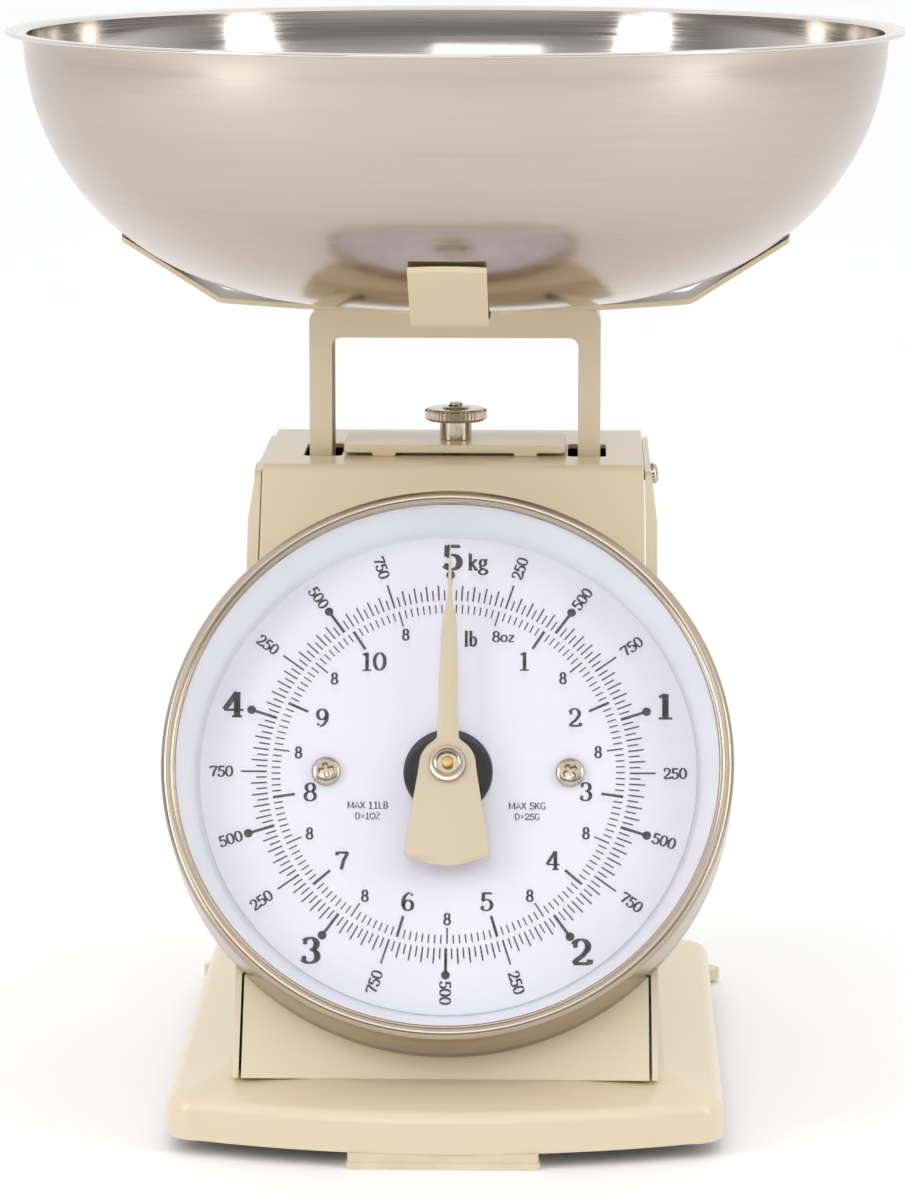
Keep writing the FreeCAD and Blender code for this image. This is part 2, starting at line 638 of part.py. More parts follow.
def dial_pan():
    """The dish behind the card, whose flared wall shows round the card."""
    floor_r, wall_r = CARD_R + 1.1, PAN_R - 1.2
    dish = turned([(0, 5.8), (floor_r + 0.6, 5.8), (PAN_R - 1.4, 0.2), (PAN_R, 0.2), (PAN_R, 17.5),
                   (wall_r, 17.5), (floor_r, CARD_Z - 1), (0, CARD_Z - 1)])
    dish = dish.cut(disc(4.9, (0, 20)))
    for x in (-DIAL_SCREW_X, DIAL_SCREW_X):
        dish = dish.cut(rod(SCREW_HOLE_R, (x, 0, 0), (x, 0, 20)))
    return on_dial(dish)


def dial_card():
    card = disc(CARD_R, (CARD_Z - 1, CARD_Z), 4.9)
    for x in (-DIAL_SCREW_X, DIAL_SCREW_X):
        card = card.cut(rod(SCREW_HOLE_R, (x, 0, 0), (x, 0, 20)))
    return on_dial(card)


def dial_screws():
    screw = pan_screw(3.8, 2.2, SCREW_R, 11.0)
    screws = [placed(screw, (x, 0, CARD_Z), (0, 0, 1)) for x in (-DIAL_SCREW_X, DIAL_SCREW_X)]
    return on_dial(Part.makeCompound(screws))


def centre_disc():
    return on_dial(disc(11.5, (CARD_Z, CARD_Z + 0.5), 4.9))


def bezel():
    """A steel band with a rolled front edge and an inner lip over the lens."""
    crown = BEZEL_Z
    back_r = PAN_R + 0.4
    ring = turned([(back_r, 0.2), (BEZEL_R, 0.2), (BEZEL_R, crown - 1.7),
                   (BEZEL_R - 0.5, crown - 0.5, BEZEL_R - 1.7, crown),
                   (BEZEL_OPENING_R + 0.3, crown - 0.6, BEZEL_OPENING_R, crown - 1.6),
                   (back_r, crown - 1.6)])
    return on_dial(ring)


def lens():
    """A thin clear cover that rises a little towards its middle."""
    low, high, rise = 17.62, 18.28, 1.1
    edge_r, middle_r = PAN_R - 0.1, PAN_R / 2
    dome = turned([(0, low + rise), (middle_r, low + rise * 0.75), (edge_r, low), (edge_r, high),
                   (middle_r, high + rise * 0.75), (0, high + rise)])
    return on_dial(dome)


def dial_bearing():
    """A flanged bush in the front, which the spindle turns in."""
    bush = fuse([disc(4.8, (-4, CARD_Z + 0.2)), disc(7.5, (-4, -SHEET))])
    return on_dial(bush.cut(disc(SPINDLE_R + RUNNING_FIT, (-10, 20))))


def spindle_bracket():
    """A bent strap on the back of the front, with the spindle's rear bearing in its nose."""
    leg = box((-15, -13.5), (-8, 8), (BRACKET_Z[0], -SHEET))
    foot = box((-24, -13.5), (-8, 8), (-SHEET - 1.5, -SHEET))
    strap, tongue = box((-15, -2), (-8, 8), BRACKET_Z), box((-5, 0), (-3.2, 3.2), BRACKET_Z)
    bracket = fuse([leg, foot, strap, tongue, disc(3.2, BRACKET_Z)])
    return on_dial(bracket.cut(disc(SPINDLE_R + RUNNING_FIT, (-50, 0))))


def spindle():
    shaft = disc(SPINDLE_R, (BRACKET_Z[0] - 2, 17.9))
    return on_dial(shaft)


def pinion():
    """The small gear that the rack turns, each tooth a straight-sided wedge."""
    root = PITCH_R - 0.6
    width = [(-0.34, root - 0.1), (-0.12, PITCH_R + 0.36), (0.12, PITCH_R + 0.36), (0.34, root - 0.1)]
    gear = [disc(root, PINION_Z, SPINDLE_R)]
    for i in range(PINION_TEETH):
        tooth = slab(width, 0, xy, *PINION_Z)
        tooth = tooth.cut(disc(SPINDLE_R, (PINION_Z[0] - 1, PINION_Z[1] + 1)))
        tooth.rotate(Vector(), Vector(0, 0, 1), 360 / PINION_TEETH * i - 90)
        gear.append(tooth)
    return on_dial(fuse(gear))


def pointer_hand():
    """A hand with a broad tail, a round hub and a needle, pointing up the slope."""
    layer = (HAND_Z, HAND_Z + HAND_T)
    fan = slab([(-7.2, 0), (-11.1, -23.6), (11.1, -23.6), (7.2, 0)], 0, xy, *layer)
    left, low, right = (Vector(x, y, HAND_Z) for x, y in ((-11.1, -23.6), (0, -26.8), (11.1, -23.6)))
    tip = Part.Wire([Part.Arc(left, low, right).toShape(), Part.makeLine(right, left)])
    tip = Part.Face(tip).extrude(Vector(0, 0, HAND_T))
    side = [(2.8, 6), (2.15, 33), (1.75, 39.5), (0.75, 44), (0.12, 60)]
    needle = slab(side + [(-x, y) for x, y in reversed(side)], 0, xy, *layer)
    hand = fuse([disc(7.3, layer), fan, tip, needle])
    return on_dial(hand.cut(disc(SPINDLE_R, (0, 30))))


def pointer_nut():
    seat = HAND_Z + HAND_T
    flange = knurled(4.9, (seat, seat + 1.2), 30, 0.3, 0.25)
    collar = disc(3.4, (seat + 1.2, seat + 2.2)).cut(disc(2.5, (seat + 1.6, seat + 3)))
    return on_dial(fuse([flange, collar]).cut(disc(SPINDLE_R, (0, 30))))


# ---------------------------------------------------------------- files

def export(name, shape):
    shape.translate(Vector(0, ORIGIN_SHIFT_Y, 0))
    solids = shape.Solids
    assert solids and all(s.isValid() for s in solids), name
    shape.exportStep(f"parts/{name}.step")
    corner = shape.BoundBox
    print(f"{name:20s} {len(solids)} solid  {shape.Volume:10.1f} mm3  "
          f"x {corner.XMin:7.1f}..{corner.XMax:6.1f}  y {corner.YMin:7.1f}..{corner.YMax:6.1f}  "
          f"z {corner.ZMin:6.1f}..{corner.ZMax:6.1f}")


def main():
    os.makedirs("parts", exist_ok=True)
    pieces = {
        "base_skirt": base_skirt(), "bottom_cover": bottom_cover(), "bottom_screws": bottom_screws(),
        "front_foot": front_foot(), "rear_foot": rear_foot(), "front_cover": front_cover(),
        "right_cheek": cheek(), "left_cheek": mirrored(cheek()), "cheek_screws": cheek_screws(),
        "rear_cover": rear_cover(), "rear_screws": rear_screws(),
        "right_frame_plate": frame_plate(), "left_frame_plate": mirrored(frame_plate()),
        "upper_pivot_shaft": pivot_shaft(UPPER_PIVOT_Z), "lower_pivot_shaft": pivot_shaft(LOWER_PIVOT_Z),
        "adjuster_bridge": adjuster_bridge(), "zero_knob": zero_knob(),
        "adjuster_screw": adjuster_screw(), "spring_hanger": spring_hanger(),
        "left_spring": spring(-SPRING_X), "right_spring": spring(SPRING_X),
        "yoke": yoke(), "platform": platform(), "platform_rivets": platform_rivets(),
        "crossbar": crossbar(), "lever_pins": lever_pins(), "rack": rack(),
        "upper_lever": lever(UPPER_PIVOT_Z), "lower_lever": lever(LOWER_PIVOT_Z), "bowl": bowl(),
        "dial_pan": dial_pan(), "dial_card": dial_card(), "dial_screws": dial_screws(),
        "centre_disc": centre_disc(), "bezel": bezel(), "lens": lens(), "dial_bearing": dial_bearing(),
        "spindle_bracket": spindle_bracket(), "spindle": spindle(), "pinion": pinion(),
        "pointer_hand": pointer_hand(), "pointer_nut": pointer_nut(),
    }
    for name, shape in pieces.items():
        export(name, shape)
    print(f"travel {TRAVEL:.3f} mm, lever angle {LEVER_ANGLE:.3f} degrees")


main()
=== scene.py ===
import json
import math

import bmesh
import bpy
from mathutils import Matrix, Vector


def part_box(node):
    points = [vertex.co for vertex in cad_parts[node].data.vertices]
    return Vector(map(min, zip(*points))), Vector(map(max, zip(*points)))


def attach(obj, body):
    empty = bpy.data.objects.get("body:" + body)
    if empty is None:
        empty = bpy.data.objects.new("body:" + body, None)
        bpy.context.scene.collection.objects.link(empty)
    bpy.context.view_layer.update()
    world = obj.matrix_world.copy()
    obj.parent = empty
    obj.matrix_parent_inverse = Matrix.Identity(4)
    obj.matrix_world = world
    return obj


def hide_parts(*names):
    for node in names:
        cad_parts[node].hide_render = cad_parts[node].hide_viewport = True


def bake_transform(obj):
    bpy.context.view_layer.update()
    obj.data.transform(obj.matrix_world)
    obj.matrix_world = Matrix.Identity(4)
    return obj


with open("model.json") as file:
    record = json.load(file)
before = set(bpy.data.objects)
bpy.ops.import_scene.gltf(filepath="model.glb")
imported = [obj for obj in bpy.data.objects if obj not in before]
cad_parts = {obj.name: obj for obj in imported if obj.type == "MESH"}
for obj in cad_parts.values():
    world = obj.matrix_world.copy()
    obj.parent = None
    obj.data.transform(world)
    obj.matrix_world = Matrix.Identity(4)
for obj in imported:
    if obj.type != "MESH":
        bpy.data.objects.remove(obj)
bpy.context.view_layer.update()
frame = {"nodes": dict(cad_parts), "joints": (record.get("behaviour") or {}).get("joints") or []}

MM = 0.001
CHASSIS, CARRIAGE, POINTER, KNOB, ADJUSTER, BOWL = (
    "chassis", "carriage", "pointer", "zero_knob", "adjuster", "bowl")


# ---------------------------------------------------------------- the frame's own measures

def centre(node):
    low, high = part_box(node)
    return (low + high) / 2


def half_width(node):
    low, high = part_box(node)
    return (high.x - low.x) / 2


AXIS_Y = centre("bowl").y
RIM_R = half_width("bowl")
RIM_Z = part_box("bowl")[1].z
BOWL_BOTTOM_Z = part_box("bowl")[0].z
CARD_R = half_width("dial_card")
BEZEL_R = half_width("bezel")
SPIN = next(joint for joint in frame["joints"] if joint["name"] == "pointer_spin")


def dial_matrix():
    """The dial's own frame: X to the viewer's right, Y up the slope, Z out of the front."""
    out = -Vector(SPIN["axis"]).normalized()
    right = Vector((1, 0, 0))
    up = out.cross(right)
    turn = Matrix((right, up, out)).transposed().to_4x4()
    return Matrix.Translation(Vector(SPIN["pos_m"])) @ turn


DIAL = dial_matrix()
UPRIGHT = Matrix.Translation((0, AXIS_Y, 0))


# ---------------------------------------------------------------- camera, light and floor

CAMERA_DISTANCE = 1.300
CAMERA_HEIGHT = 0.348
CAMERA_PITCH = math.radians(9.83)
CAMERA_YAW = math.radians(1.5)
CAMERA_SIDE = -0.0009
LENS = 145.5
SENSOR_WIDTH = 36
CLIP_START = 0.05
AIM_Z = 0.14
SKY_COLOUR = (0.985, 0.99, 1.0, 1)
SKY_LOW, SKY_HIGH = 0.24, 1.0
OVERHEAD = (2, 0.15, 0.6, 1.2)  # axis, where the brightening starts and ends, how bright it gets
BEHIND = (1, -0.3, 0.5, 1.0)


def add_camera():
    data = bpy.data.cameras.new("camera")
    data.lens = LENS
    data.sensor_width = SENSOR_WIDTH
    data.clip_start = CLIP_START
    camera = bpy.data.objects.new("camera", data)
    bpy.context.scene.collection.objects.link(camera)
    x = CAMERA_DISTANCE * math.sin(CAMERA_YAW) + CAMERA_SIDE
    y = AXIS_Y - CAMERA_DISTANCE * math.cos(CAMERA_YAW)
    camera.location = (x, y, CAMERA_HEIGHT)
    camera.rotation_euler = (math.pi / 2 - CAMERA_PITCH, 0, CAMERA_YAW)
    bpy.context.scene.camera = camera


def add_light(name, place, target, size, power, colour=(1, 1, 1)):
    data = bpy.data.lights.new(name, "AREA")
    data.shape = "RECTANGLE"
    data.size, data.size_y = size
    data.energy = power
    data.color = colour
    light = bpy.data.objects.new(name, data)
    light.location = place
    light.rotation_euler = (Vector(target) - Vector(place)).to_track_quat("-Z", "Y").to_euler()
    bpy.context.scene.collection.objects.link(light)


def add_studio():
    aim = (0, AXIS_Y, AIM_Z)
    add_light("left_box", (-1.1, -0.75, 0.6), aim, (0.4, 1.1), 5)
    add_light("right_box", (1.15, -0.55, 0.55), aim, (0.35, 1.0), 4)
    add_light("front_box", (-0.25, -1.75, 1.1), aim, (1.1, 0.7), 4)
    bpy.context.scene.view_settings.view_transform = "Standard"
    add_sky()


def add_sky():
    """A white tent: bright overhead and behind the object, dimmer low in front of it."""
    world = bpy.data.worlds.new("studio")
    bpy.context.scene.world = world
    world.use_nodes = True
    tree = world.node_tree
    background = tree.nodes["Background"]
    background.inputs["Color"].default_value = SKY_COLOUR
    direction = tree.nodes.new("ShaderNodeSeparateXYZ")
    tree.links.new(tree.nodes.new("ShaderNodeTexCoord").outputs["Generated"], direction.inputs[0])
    parts = []
    for socket, start, end, top in (OVERHEAD, BEHIND):
        ramp = tree.nodes.new("ShaderNodeMapRange")
        tree.links.new(direction.outputs[socket], ramp.inputs["Value"])
        for name, number in zip(("From Min", "From Max", "To Min", "To Max"), (start, end, 0.0, top)):
            ramp.inputs[name].default_value = number
        parts.append(ramp.outputs[0])
    brighter = tree.nodes.new("ShaderNodeMath")
    brighter.operation = "MAXIMUM"
    tree.links.new(parts[0], brighter.inputs[0])
    tree.links.new(parts[1], brighter.inputs[1])
    strength = tree.nodes.new("ShaderNodeMath")
    strength.operation = "MULTIPLY_ADD"
    tree.links.new(brighter.outputs[0], strength.inputs[0])
    strength.inputs[1].default_value = SKY_HIGH - SKY_LOW
    strength.inputs[2].default_value = SKY_LOW
    tree.links.new(strength.outputs[0], background.inputs["Strength"])


# ---------------------------------------------------------------- material helpers

class Shader:
    """A material's node tree, with short calls for the nodes that the finishes share."""

    def __init__(self, name, colour, roughness, metallic=0.0):
        self.material = bpy.data.materials.new(name)
        self.material.use_nodes = True
        self.tree = self.material.node_tree
        self.shader = self.tree.nodes["Principled BSDF"]
        self.set("Base Color", (*colour, 1))
        self.set("Roughness", roughness)
        self.set("Metallic", metallic)
        self.coords = self.add("ShaderNodeTexCoord").outputs["Object"]
        self.material.diffuse_color = (*colour, 1)

    def set(self, socket, value):
        self.shader.inputs[socket].default_value = value

    def add(self, kind, **values):
        made = self.tree.nodes.new(kind)
        for key, value in values.items():
            setattr(made, key, value)
        return made

    def link(self, source, target):
        self.tree.links.new(source, target)

    def maths(self, operation, first, second=0.0):
        made = self.add("ShaderNodeMath", operation=operation)
        for socket, value in zip(made.inputs, (first, second)):
            if isinstance(value, (int, float)):
                socket.default_value = value
            else:
                self.link(value, socket)
        return made.outputs[0]

    def noise(self, scale, detail=3.0, roughness=0.5, vector=None):
        made = self.add("ShaderNodeTexNoise")
        made.inputs["Scale"].default_value = scale
        made.inputs["Detail"].default_value = detail
        made.inputs["Roughness"].default_value = roughness
        self.link(vector or self.coords, made.inputs["Vector"])
        return made.outputs["Fac"]

    def rings(self, across, along):
        """Coordinates for lathe marks round the Z axis: fine across the marks, long along them."""
        split = self.add("ShaderNodeSeparateXYZ")
        self.link(self.coords, split.inputs[0])
        x, y, z = split.outputs
        radius = self.maths("SQRT", self.maths("ADD", self.maths("MULTIPLY", x, x),
                                               self.maths("MULTIPLY", y, y)))
        joined = self.add("ShaderNodeCombineXYZ")
        self.link(self.maths("MULTIPLY", radius, across), joined.inputs[0])
        self.link(self.maths("MULTIPLY", z, across), joined.inputs[1])
        self.link(self.maths("MULTIPLY", self.maths("ARCTAN2", y, x), along), joined.inputs[2])
        return joined.outputs[0]

    def ramp(self, value, low, high, start=0.3, end=0.7):
        """Maps a noise onto a range of numbers."""
        made = self.add("ShaderNodeMapRange")
        self.link(value, made.inputs["Value"])
        for socket, number in zip(("From Min", "From Max", "To Min", "To Max"), (start, end, low, high)):
            made.inputs[socket].default_value = number
        return made.outputs[0]

    def colours(self, value, stops):
        made = self.add("ShaderNodeValToRGB")
        ramp = made.color_ramp
        while len(ramp.elements) < len(stops):
            ramp.elements.new(0.5)
        for element, (place, colour) in zip(ramp.elements, stops):
            element.position = place
            element.color = (*colour, 1)
        self.link(value, made.inputs[0])
        return made.outputs[0]

    def bump(self, height, strength, distance):
        made = self.add("ShaderNodeBump")
        made.inputs["Strength"].default_value = strength
        made.inputs["Distance"].default_value = distance
        self.link(height, made.inputs["Height"])
        self.link(made.outputs[0], self.shader.inputs["Normal"])

    def drive(self, socket, source):
        self.link(source, self.shader.inputs[socket])


def shade(colour, factor):
    return tuple(min(channel * factor, 1) for channel in colour)


def srgb(red, green, blue):
    """A colour given in 0-255 steps of the screen, as linear light."""
    def linear(step):
        value = step / 255
        return value / 12.92 if value <= 0.04045 else ((value + 0.055) / 1.055) ** 2.4
    return tuple(linear(step) for step in (red, green, blue))


# ---------------------------------------------------------------- materials

def enamel(name, colour, roughness=0.3):
    """Sprayed and baked paint: a faint orange peel, patchy gloss and a slight drift of colour."""
    made = Shader(name, colour, roughness)
    patches = made.noise(6, detail=2)
    made.drive("Base Color", made.colours(patches, [(0.3, shade(colour, 0.99)),
                                                    (0.7, shade(colour, 1.008))]))
    made.drive("Roughness", made.ramp(made.noise(14, detail=2), roughness - 0.015, roughness + 0.02))
    made.bump(made.noise(750, detail=2), strength=0.1, distance=0.00012)
    made.set("Coat Weight", 0.25)
    made.set("Coat Roughness", 0.12)
    return made.material


def spun_steel(name, colour, roughness, depth, along=2.2, across=5200):
    """Steel polished on a lathe: fine rings with a changing sheen."""
    made = Shader(name, colour, roughness, 1.0)
    marks = made.noise(1, 6, 0.62, made.rings(across, along))
    broad = made.noise(1, 3, 0.5, made.rings(420, 0.7))
    mixed = made.maths("ADD", made.maths("MULTIPLY", marks, 0.7), made.maths("MULTIPLY", broad, 0.3))
    made.drive("Base Color", made.colours(mixed, [(0.36, shade(colour, 0.94)), (0.5, colour),
                                                  (0.64, shade(colour, 1.04))]))
    made.drive("Roughness", made.ramp(mixed, roughness - 0.07, roughness + 0.1, 0.35, 0.65))
    made.bump(marks, strength=depth, distance=0.00006)
    made.set("Anisotropic", 0.35)
    tangent = made.add("ShaderNodeTangent", direction_type="RADIAL", axis="Z")
    made.link(tangent.outputs[0], made.shader.inputs["Tangent"])
    return made.material


def plated(name, colour, roughness=0.24):
    """Nickel or zinc plate on small turned and pressed pieces."""
    made = Shader(name, colour, roughness, 1.0)
    stains = made.noise(320, detail=4)
    made.drive("Base Color", made.colours(stains, [(0.3, shade(colour, 0.93)), (0.55, colour),
                                                   (0.75, shade(colour, 1.04))]))
    made.drive("Roughness", made.ramp(made.noise(900, detail=3), roughness - 0.06, roughness + 0.1))
    made.bump(made.noise(2400, detail=2), strength=0.05, distance=0.00002)
    return made.material


def satin_print(name, colour, roughness, grain=1100):
    """The card's lacquer, the pan's paint and the ink, each with a fine grain."""
    made = Shader(name, colour, roughness)
    cloud = made.noise(45, detail=3)
    made.drive("Base Color", made.colours(cloud, [(0.3, shade(colour, 0.975)),
                                                  (0.7, shade(colour, 1.012))]))
    made.drive("Roughness", made.ramp(made.noise(grain / 4, detail=3), roughness - 0.05, roughness + 0.06))
    made.bump(made.noise(grain, detail=2), strength=0.08, distance=0.00005)
    return made.material


def moulded(name, colour, roughness=0.45):
    """Moulded plastic with a spark-eroded grain."""
    made = Shader(name, colour, roughness)
    made.drive("Base Color", made.colours(made.noise(140, detail=4), [(0.3, shade(colour, 0.93)),
                                                               (0.7, shade(colour, 1.05))]))
    made.drive("Roughness", made.ramp(made.noise(500, detail=3), roughness - 0.05, roughness + 0.08))
    made.bump(made.noise(1600, detail=3), strength=0.2, distance=0.00008)
    return made.material


def clear_cover(name):
    """A clear dial cover: nearly invisible, with a faint gloss and the odd fine rub mark."""
    made = Shader(name, (0.9, 0.93, 0.97), 0.04)
    made.set("Alpha", 0.05)
    made.set("IOR", 1.49)
    made.set("Transmission Weight", 1.0)
    made.drive("Roughness", made.ramp(made.noise(60, detail=5), 0.02, 0.09))
    made.bump(made.noise(9, detail=2), strength=0.02, distance=0.0002)
    made.material.surface_render_method = "BLENDED"
    return made.material


CREAM = srgb(219, 203, 172)
MATERIALS = {
    "cream_paint": enamel("cream_enamel", CREAM),
    "hand": enamel("hand_enamel", srgb(203, 188, 160), 0.4),
    "foot": moulded("cream_plastic", srgb(217, 202, 172)),
    "bowl_outside": spun_steel("bowl_outside_steel", srgb(190, 177, 166), 0.15, 0.16),
    "bowl_inside": spun_steel("bowl_inside_steel", srgb(216, 210, 203), 0.1, 0.06),
    "steel": spun_steel("bezel_steel", srgb(176, 163, 146), 0.2, 0.14, 1.6),
    "nickel": plated("nickel_plate", srgb(192, 182, 164), 0.16),
    "zinc": plated("zinc_plate", srgb(178, 178, 174), 0.36),
    "spring_steel": plated("oiled_spring_steel", srgb(120, 122, 128), 0.3),
    "brass": plated("turned_brass", srgb(203, 170, 104), 0.28),
    "white_card": satin_print("card_lacquer", srgb(226, 225, 236), 0.42),
    "grey_pan": satin_print("pan_paint", srgb(229, 229, 235), 0.36, 700),
    "ink": satin_print("printing_ink", srgb(44, 38, 40), 0.5),
    "black": moulded("black_disc", srgb(26, 25, 27), 0.5),
    "clear": clear_cover("clear_cover"),
}


# ---------------------------------------------------------------- mesh helpers

ON_AXIS = 1e-6
MERGE = 1e-7
WELD = 1e-6
FLAT_ANGLE = math.radians(0.6)
EDGE_ANGLE = math.radians(28)
EDGE_SEGMENTS = 3


def add_piece(name, mesh, body, materials, matrix=UPRIGHT, sharp=32, replaces=()):
    """Puts a finished mesh into the scene as a piece of a body."""
    for material in materials:
        mesh.materials.append(MATERIALS[material])
    mesh.shade_smooth()
    mesh.set_sharp_from_angle(angle=math.radians(sharp))
    piece = bpy.data.objects.new(name, mesh)
    piece.matrix_world = matrix
    bpy.context.scene.collection.objects.link(piece)
    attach(piece, body)
    if replaces:
        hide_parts(*replaces)
    return piece


def finish_mesh(bm, name):
    bmesh.ops.remove_doubles(bm, verts=bm.verts, dist=MERGE)
    bmesh.ops.recalc_face_normals(bm, faces=bm.faces)
    mesh = bpy.data.meshes.new(name)
    bm.to_mesh(mesh)
    bm.free()
    return mesh


def arc(centre_u, centre_v, radius_u, radius_v, start, end, steps):
    """Points along part of an ellipse, by angle in degrees."""
    angles = [math.radians(start + (end - start) * i / steps) for i in range(steps + 1)]
    return [(centre_u + radius_u * math.cos(a), centre_v + radius_v * math.sin(a)) for a in angles]


def lathe(bm, profile, segments, material_at=None, wobble=None):
    """Turns a closed loop of radius and height points about Z. Points on the axis make one vertex."""
    rings = []
    for index, (radius, height) in enumerate(profile):
        if radius < ON_AXIS:
            rings.append([bm.verts.new((0, 0, height))])
            continue
        ring = []
        for i in range(segments):
            angle = 2 * math.pi * i / segments
            reach = radius * (wobble(index, i) if wobble else 1)
            ring.append(bm.verts.new((reach * math.cos(angle), reach * math.sin(angle), height)))
        rings.append(ring)
    for index, (first, second) in enumerate(zip(rings, rings[1:] + rings[:1])):
        for i in range(segments):
            following = (i + 1) % segments
            corners = [first[i % len(first)], first[following % len(first)],
                       second[following % len(second)], second[i % len(second)]]
            corners = list(dict.fromkeys(corners))
            if len(corners) < 3:
                continue
            face = bm.faces.new(corners)
            if material_at:
                face.material_index = material_at(index)


def turned_piece(name, profile, body, materials, matrix=UPRIGHT, segments=192, sharp=32,
                 replaces=(), material_at=None, wobble=None):
    bm = bmesh.new()
    lathe(bm, profile, segments, material_at, wobble)
    mesh = finish_mesh(bm, name)
    add_piece(name, mesh, body, materials, matrix, sharp, replaces)


def slab(bm, outline, matrix, top):
    """An outline of X and Y points, given a thickness along Z, then placed by a matrix."""
    low = [bm.verts.new(matrix @ Vector((x, y, 0))) for x, y in outline]
    high = [bm.verts.new(matrix @ Vector((x, y, top))) for x, y in outline]
    bm.faces.new(high)
    bm.faces.new(low[::-1])
    for i in range(len(outline)):
        j = (i + 1) % len(outline)
        bm.faces.new((low[i], low[j], high[j], high[i]))


def soften(piece, width):
    """Rounds the edges of a sheet or a block, and keeps its flats flat."""
    weld = piece.modifiers.new("weld", "WELD")
    weld.merge_threshold = WELD
    flats = piece.modifiers.new("whole_flats", "DECIMATE")
    flats.decimate_type = "DISSOLVE"
    flats.angle_limit = FLAT_ANGLE
    bevel = piece.modifiers.new("soft_edges", "BEVEL")
    bevel.width = width
    bevel.segments = EDGE_SEGMENTS
    bevel.limit_method = "ANGLE"
    bevel.angle_limit = EDGE_ANGLE
    bevel.use_clamp_overlap = True
    bevel.harden_normals = False
    smooth = piece.modifiers.new("flat_flats", "WEIGHTED_NORMAL")
    smooth.keep_sharp = True


# ---------------------------------------------------------------- bowl

BOWL_BODY_R = 115 * MM
BOWL_FLAT_R = 40 * MM
BOWL_CENTRE_R = BOWL_FLAT_R * 0.6
BOWL_WALL = 0.9 * MM
LIP = 1.0 * MM
SIDE_STEPS = 40
LIP_STEPS = 8


def add_bowl():
    """A flat bottom, a quarter-ellipse side and a turned-out lip with a rounded edge."""
    brow = RIM_Z - LIP
    width = BOWL_BODY_R - BOWL_FLAT_R
    depth = brow - BOWL_BOTTOM_Z
    outside = arc(BOWL_FLAT_R, brow, width, depth, -90, 0, SIDE_STEPS)
    inside = arc(BOWL_FLAT_R, brow, width - BOWL_WALL, depth - BOWL_WALL, 0, -90, SIDE_STEPS)
    floor = BOWL_BOTTOM_Z + BOWL_WALL
    lip_r = LIP / 2
    under = [(BOWL_BODY_R + 0.5 * MM, brow + 0.02 * MM), (RIM_R - lip_r, brow)]
    edge = arc(RIM_R - lip_r, RIM_Z - lip_r, lip_r, lip_r, -80, 90, LIP_STEPS)
    upper = [(BOWL_BODY_R + 2.2 * MM, RIM_Z), (BOWL_BODY_R + 1.0 * MM, RIM_Z - 0.12 * MM),
             (BOWL_BODY_R - 0.2 * MM, RIM_Z - 0.45 * MM)]
    profile = [(0, BOWL_BOTTOM_Z), (BOWL_CENTRE_R, BOWL_BOTTOM_Z)] + outside[:-1] + under + edge
    profile += upper + inside + [(BOWL_CENTRE_R, floor), (0, floor)]
    polished_from = len(outside) + len(under) + len(edge) - LIP_STEPS
    turned_piece("bowl_shell", profile, BOWL, ["bowl_outside", "bowl_inside"],
                 segments=288, sharp=50, replaces=["bowl"],
                 material_at=lambda index: 1 if index >= polished_from else 0)


# ---------------------------------------------------------------- dial

CARD_Z = 8 * MM
PRINT_T = 0.05 * MM
OPENING_R = 69.3 * MM
PAN_R = BEZEL_R - 1.8 * MM
BEZEL_Z = 20 * MM
HAND_Z = 14.6 * MM


def add_bezel():
    """A satin band with a rolled front, a groove inside it and a thin lip over the cover."""
    back = 0.2 * MM
    roll = arc(BEZEL_R - 1.9 * MM, BEZEL_Z - 1.9 * MM, 1.9 * MM, 1.9 * MM, 0, 130, 14)
    inner = arc(OPENING_R + 0.75 * MM, BEZEL_Z - 1.0 * MM, 0.55 * MM, 0.5 * MM, 60, 180, 8)
    profile = [(BEZEL_R - 1.4 * MM, back), (BEZEL_R - 0.3 * MM, back), (BEZEL_R, back + 0.5 * MM)]
    profile += [(BEZEL_R, 7 * MM), (BEZEL_R, 13 * MM)] + roll
    profile += [(OPENING_R + 1.35 * MM, BEZEL_Z - 0.95 * MM)] + inner
    profile += [(OPENING_R + 0.1 * MM, BEZEL_Z - 1.55 * MM), (BEZEL_R - 1.4 * MM, BEZEL_Z - 1.6 * MM)]
    turned_piece("bezel_ring", profile, CHASSIS, ["steel"], DIAL, 256, 40, ["bezel"])


def add_lens():
    edge_low, edge_high, rise, radius = 17.62 * MM, 18.28 * MM, 1.1 * MM, PAN_R - 0.1 * MM
    steps = 16

    def dome(edge):
        return [(radius * i / steps, edge + rise * (1 - (i / steps) ** 2)) for i in range(steps + 1)]

    profile = dome(edge_low) + dome(edge_high)[::-1]
    turned_piece("dial_cover", profile, CHASSIS, ["clear"], DIAL, 160, 40, ["lens"])


def add_pan():
    """The dish round the card: a flared wall with a rounded top."""
    floor_r, wall_r = CARD_R + 1.1 * MM, PAN_R - 1.2 * MM
    profile = [(0, 5.8 * MM), (floor_r + 0.6 * MM, 5.8 * MM), (PAN_R - 1.4 * MM, 0.2 * MM),
               (PAN_R, 0.2 * MM), (PAN_R, 17.3 * MM), (PAN_R - 0.2 * MM, 17.5 * MM),
               (wall_r + 0.2 * MM, 17.5 * MM), (wall_r - 0.1 * MM, 17.2 * MM),
               (wall_r - 0.5 * MM, 16.2 * MM), (floor_r + 0.5 * MM, 7.6 * MM), (floor_r, 7.1 * MM),
               (floor_r - 0.8 * MM, 7 * MM), (0, 7 * MM)]
    turned_piece("dial_dish", profile, CHASSIS, ["grey_pan"], DIAL, 192, 30, ["dial_pan"])


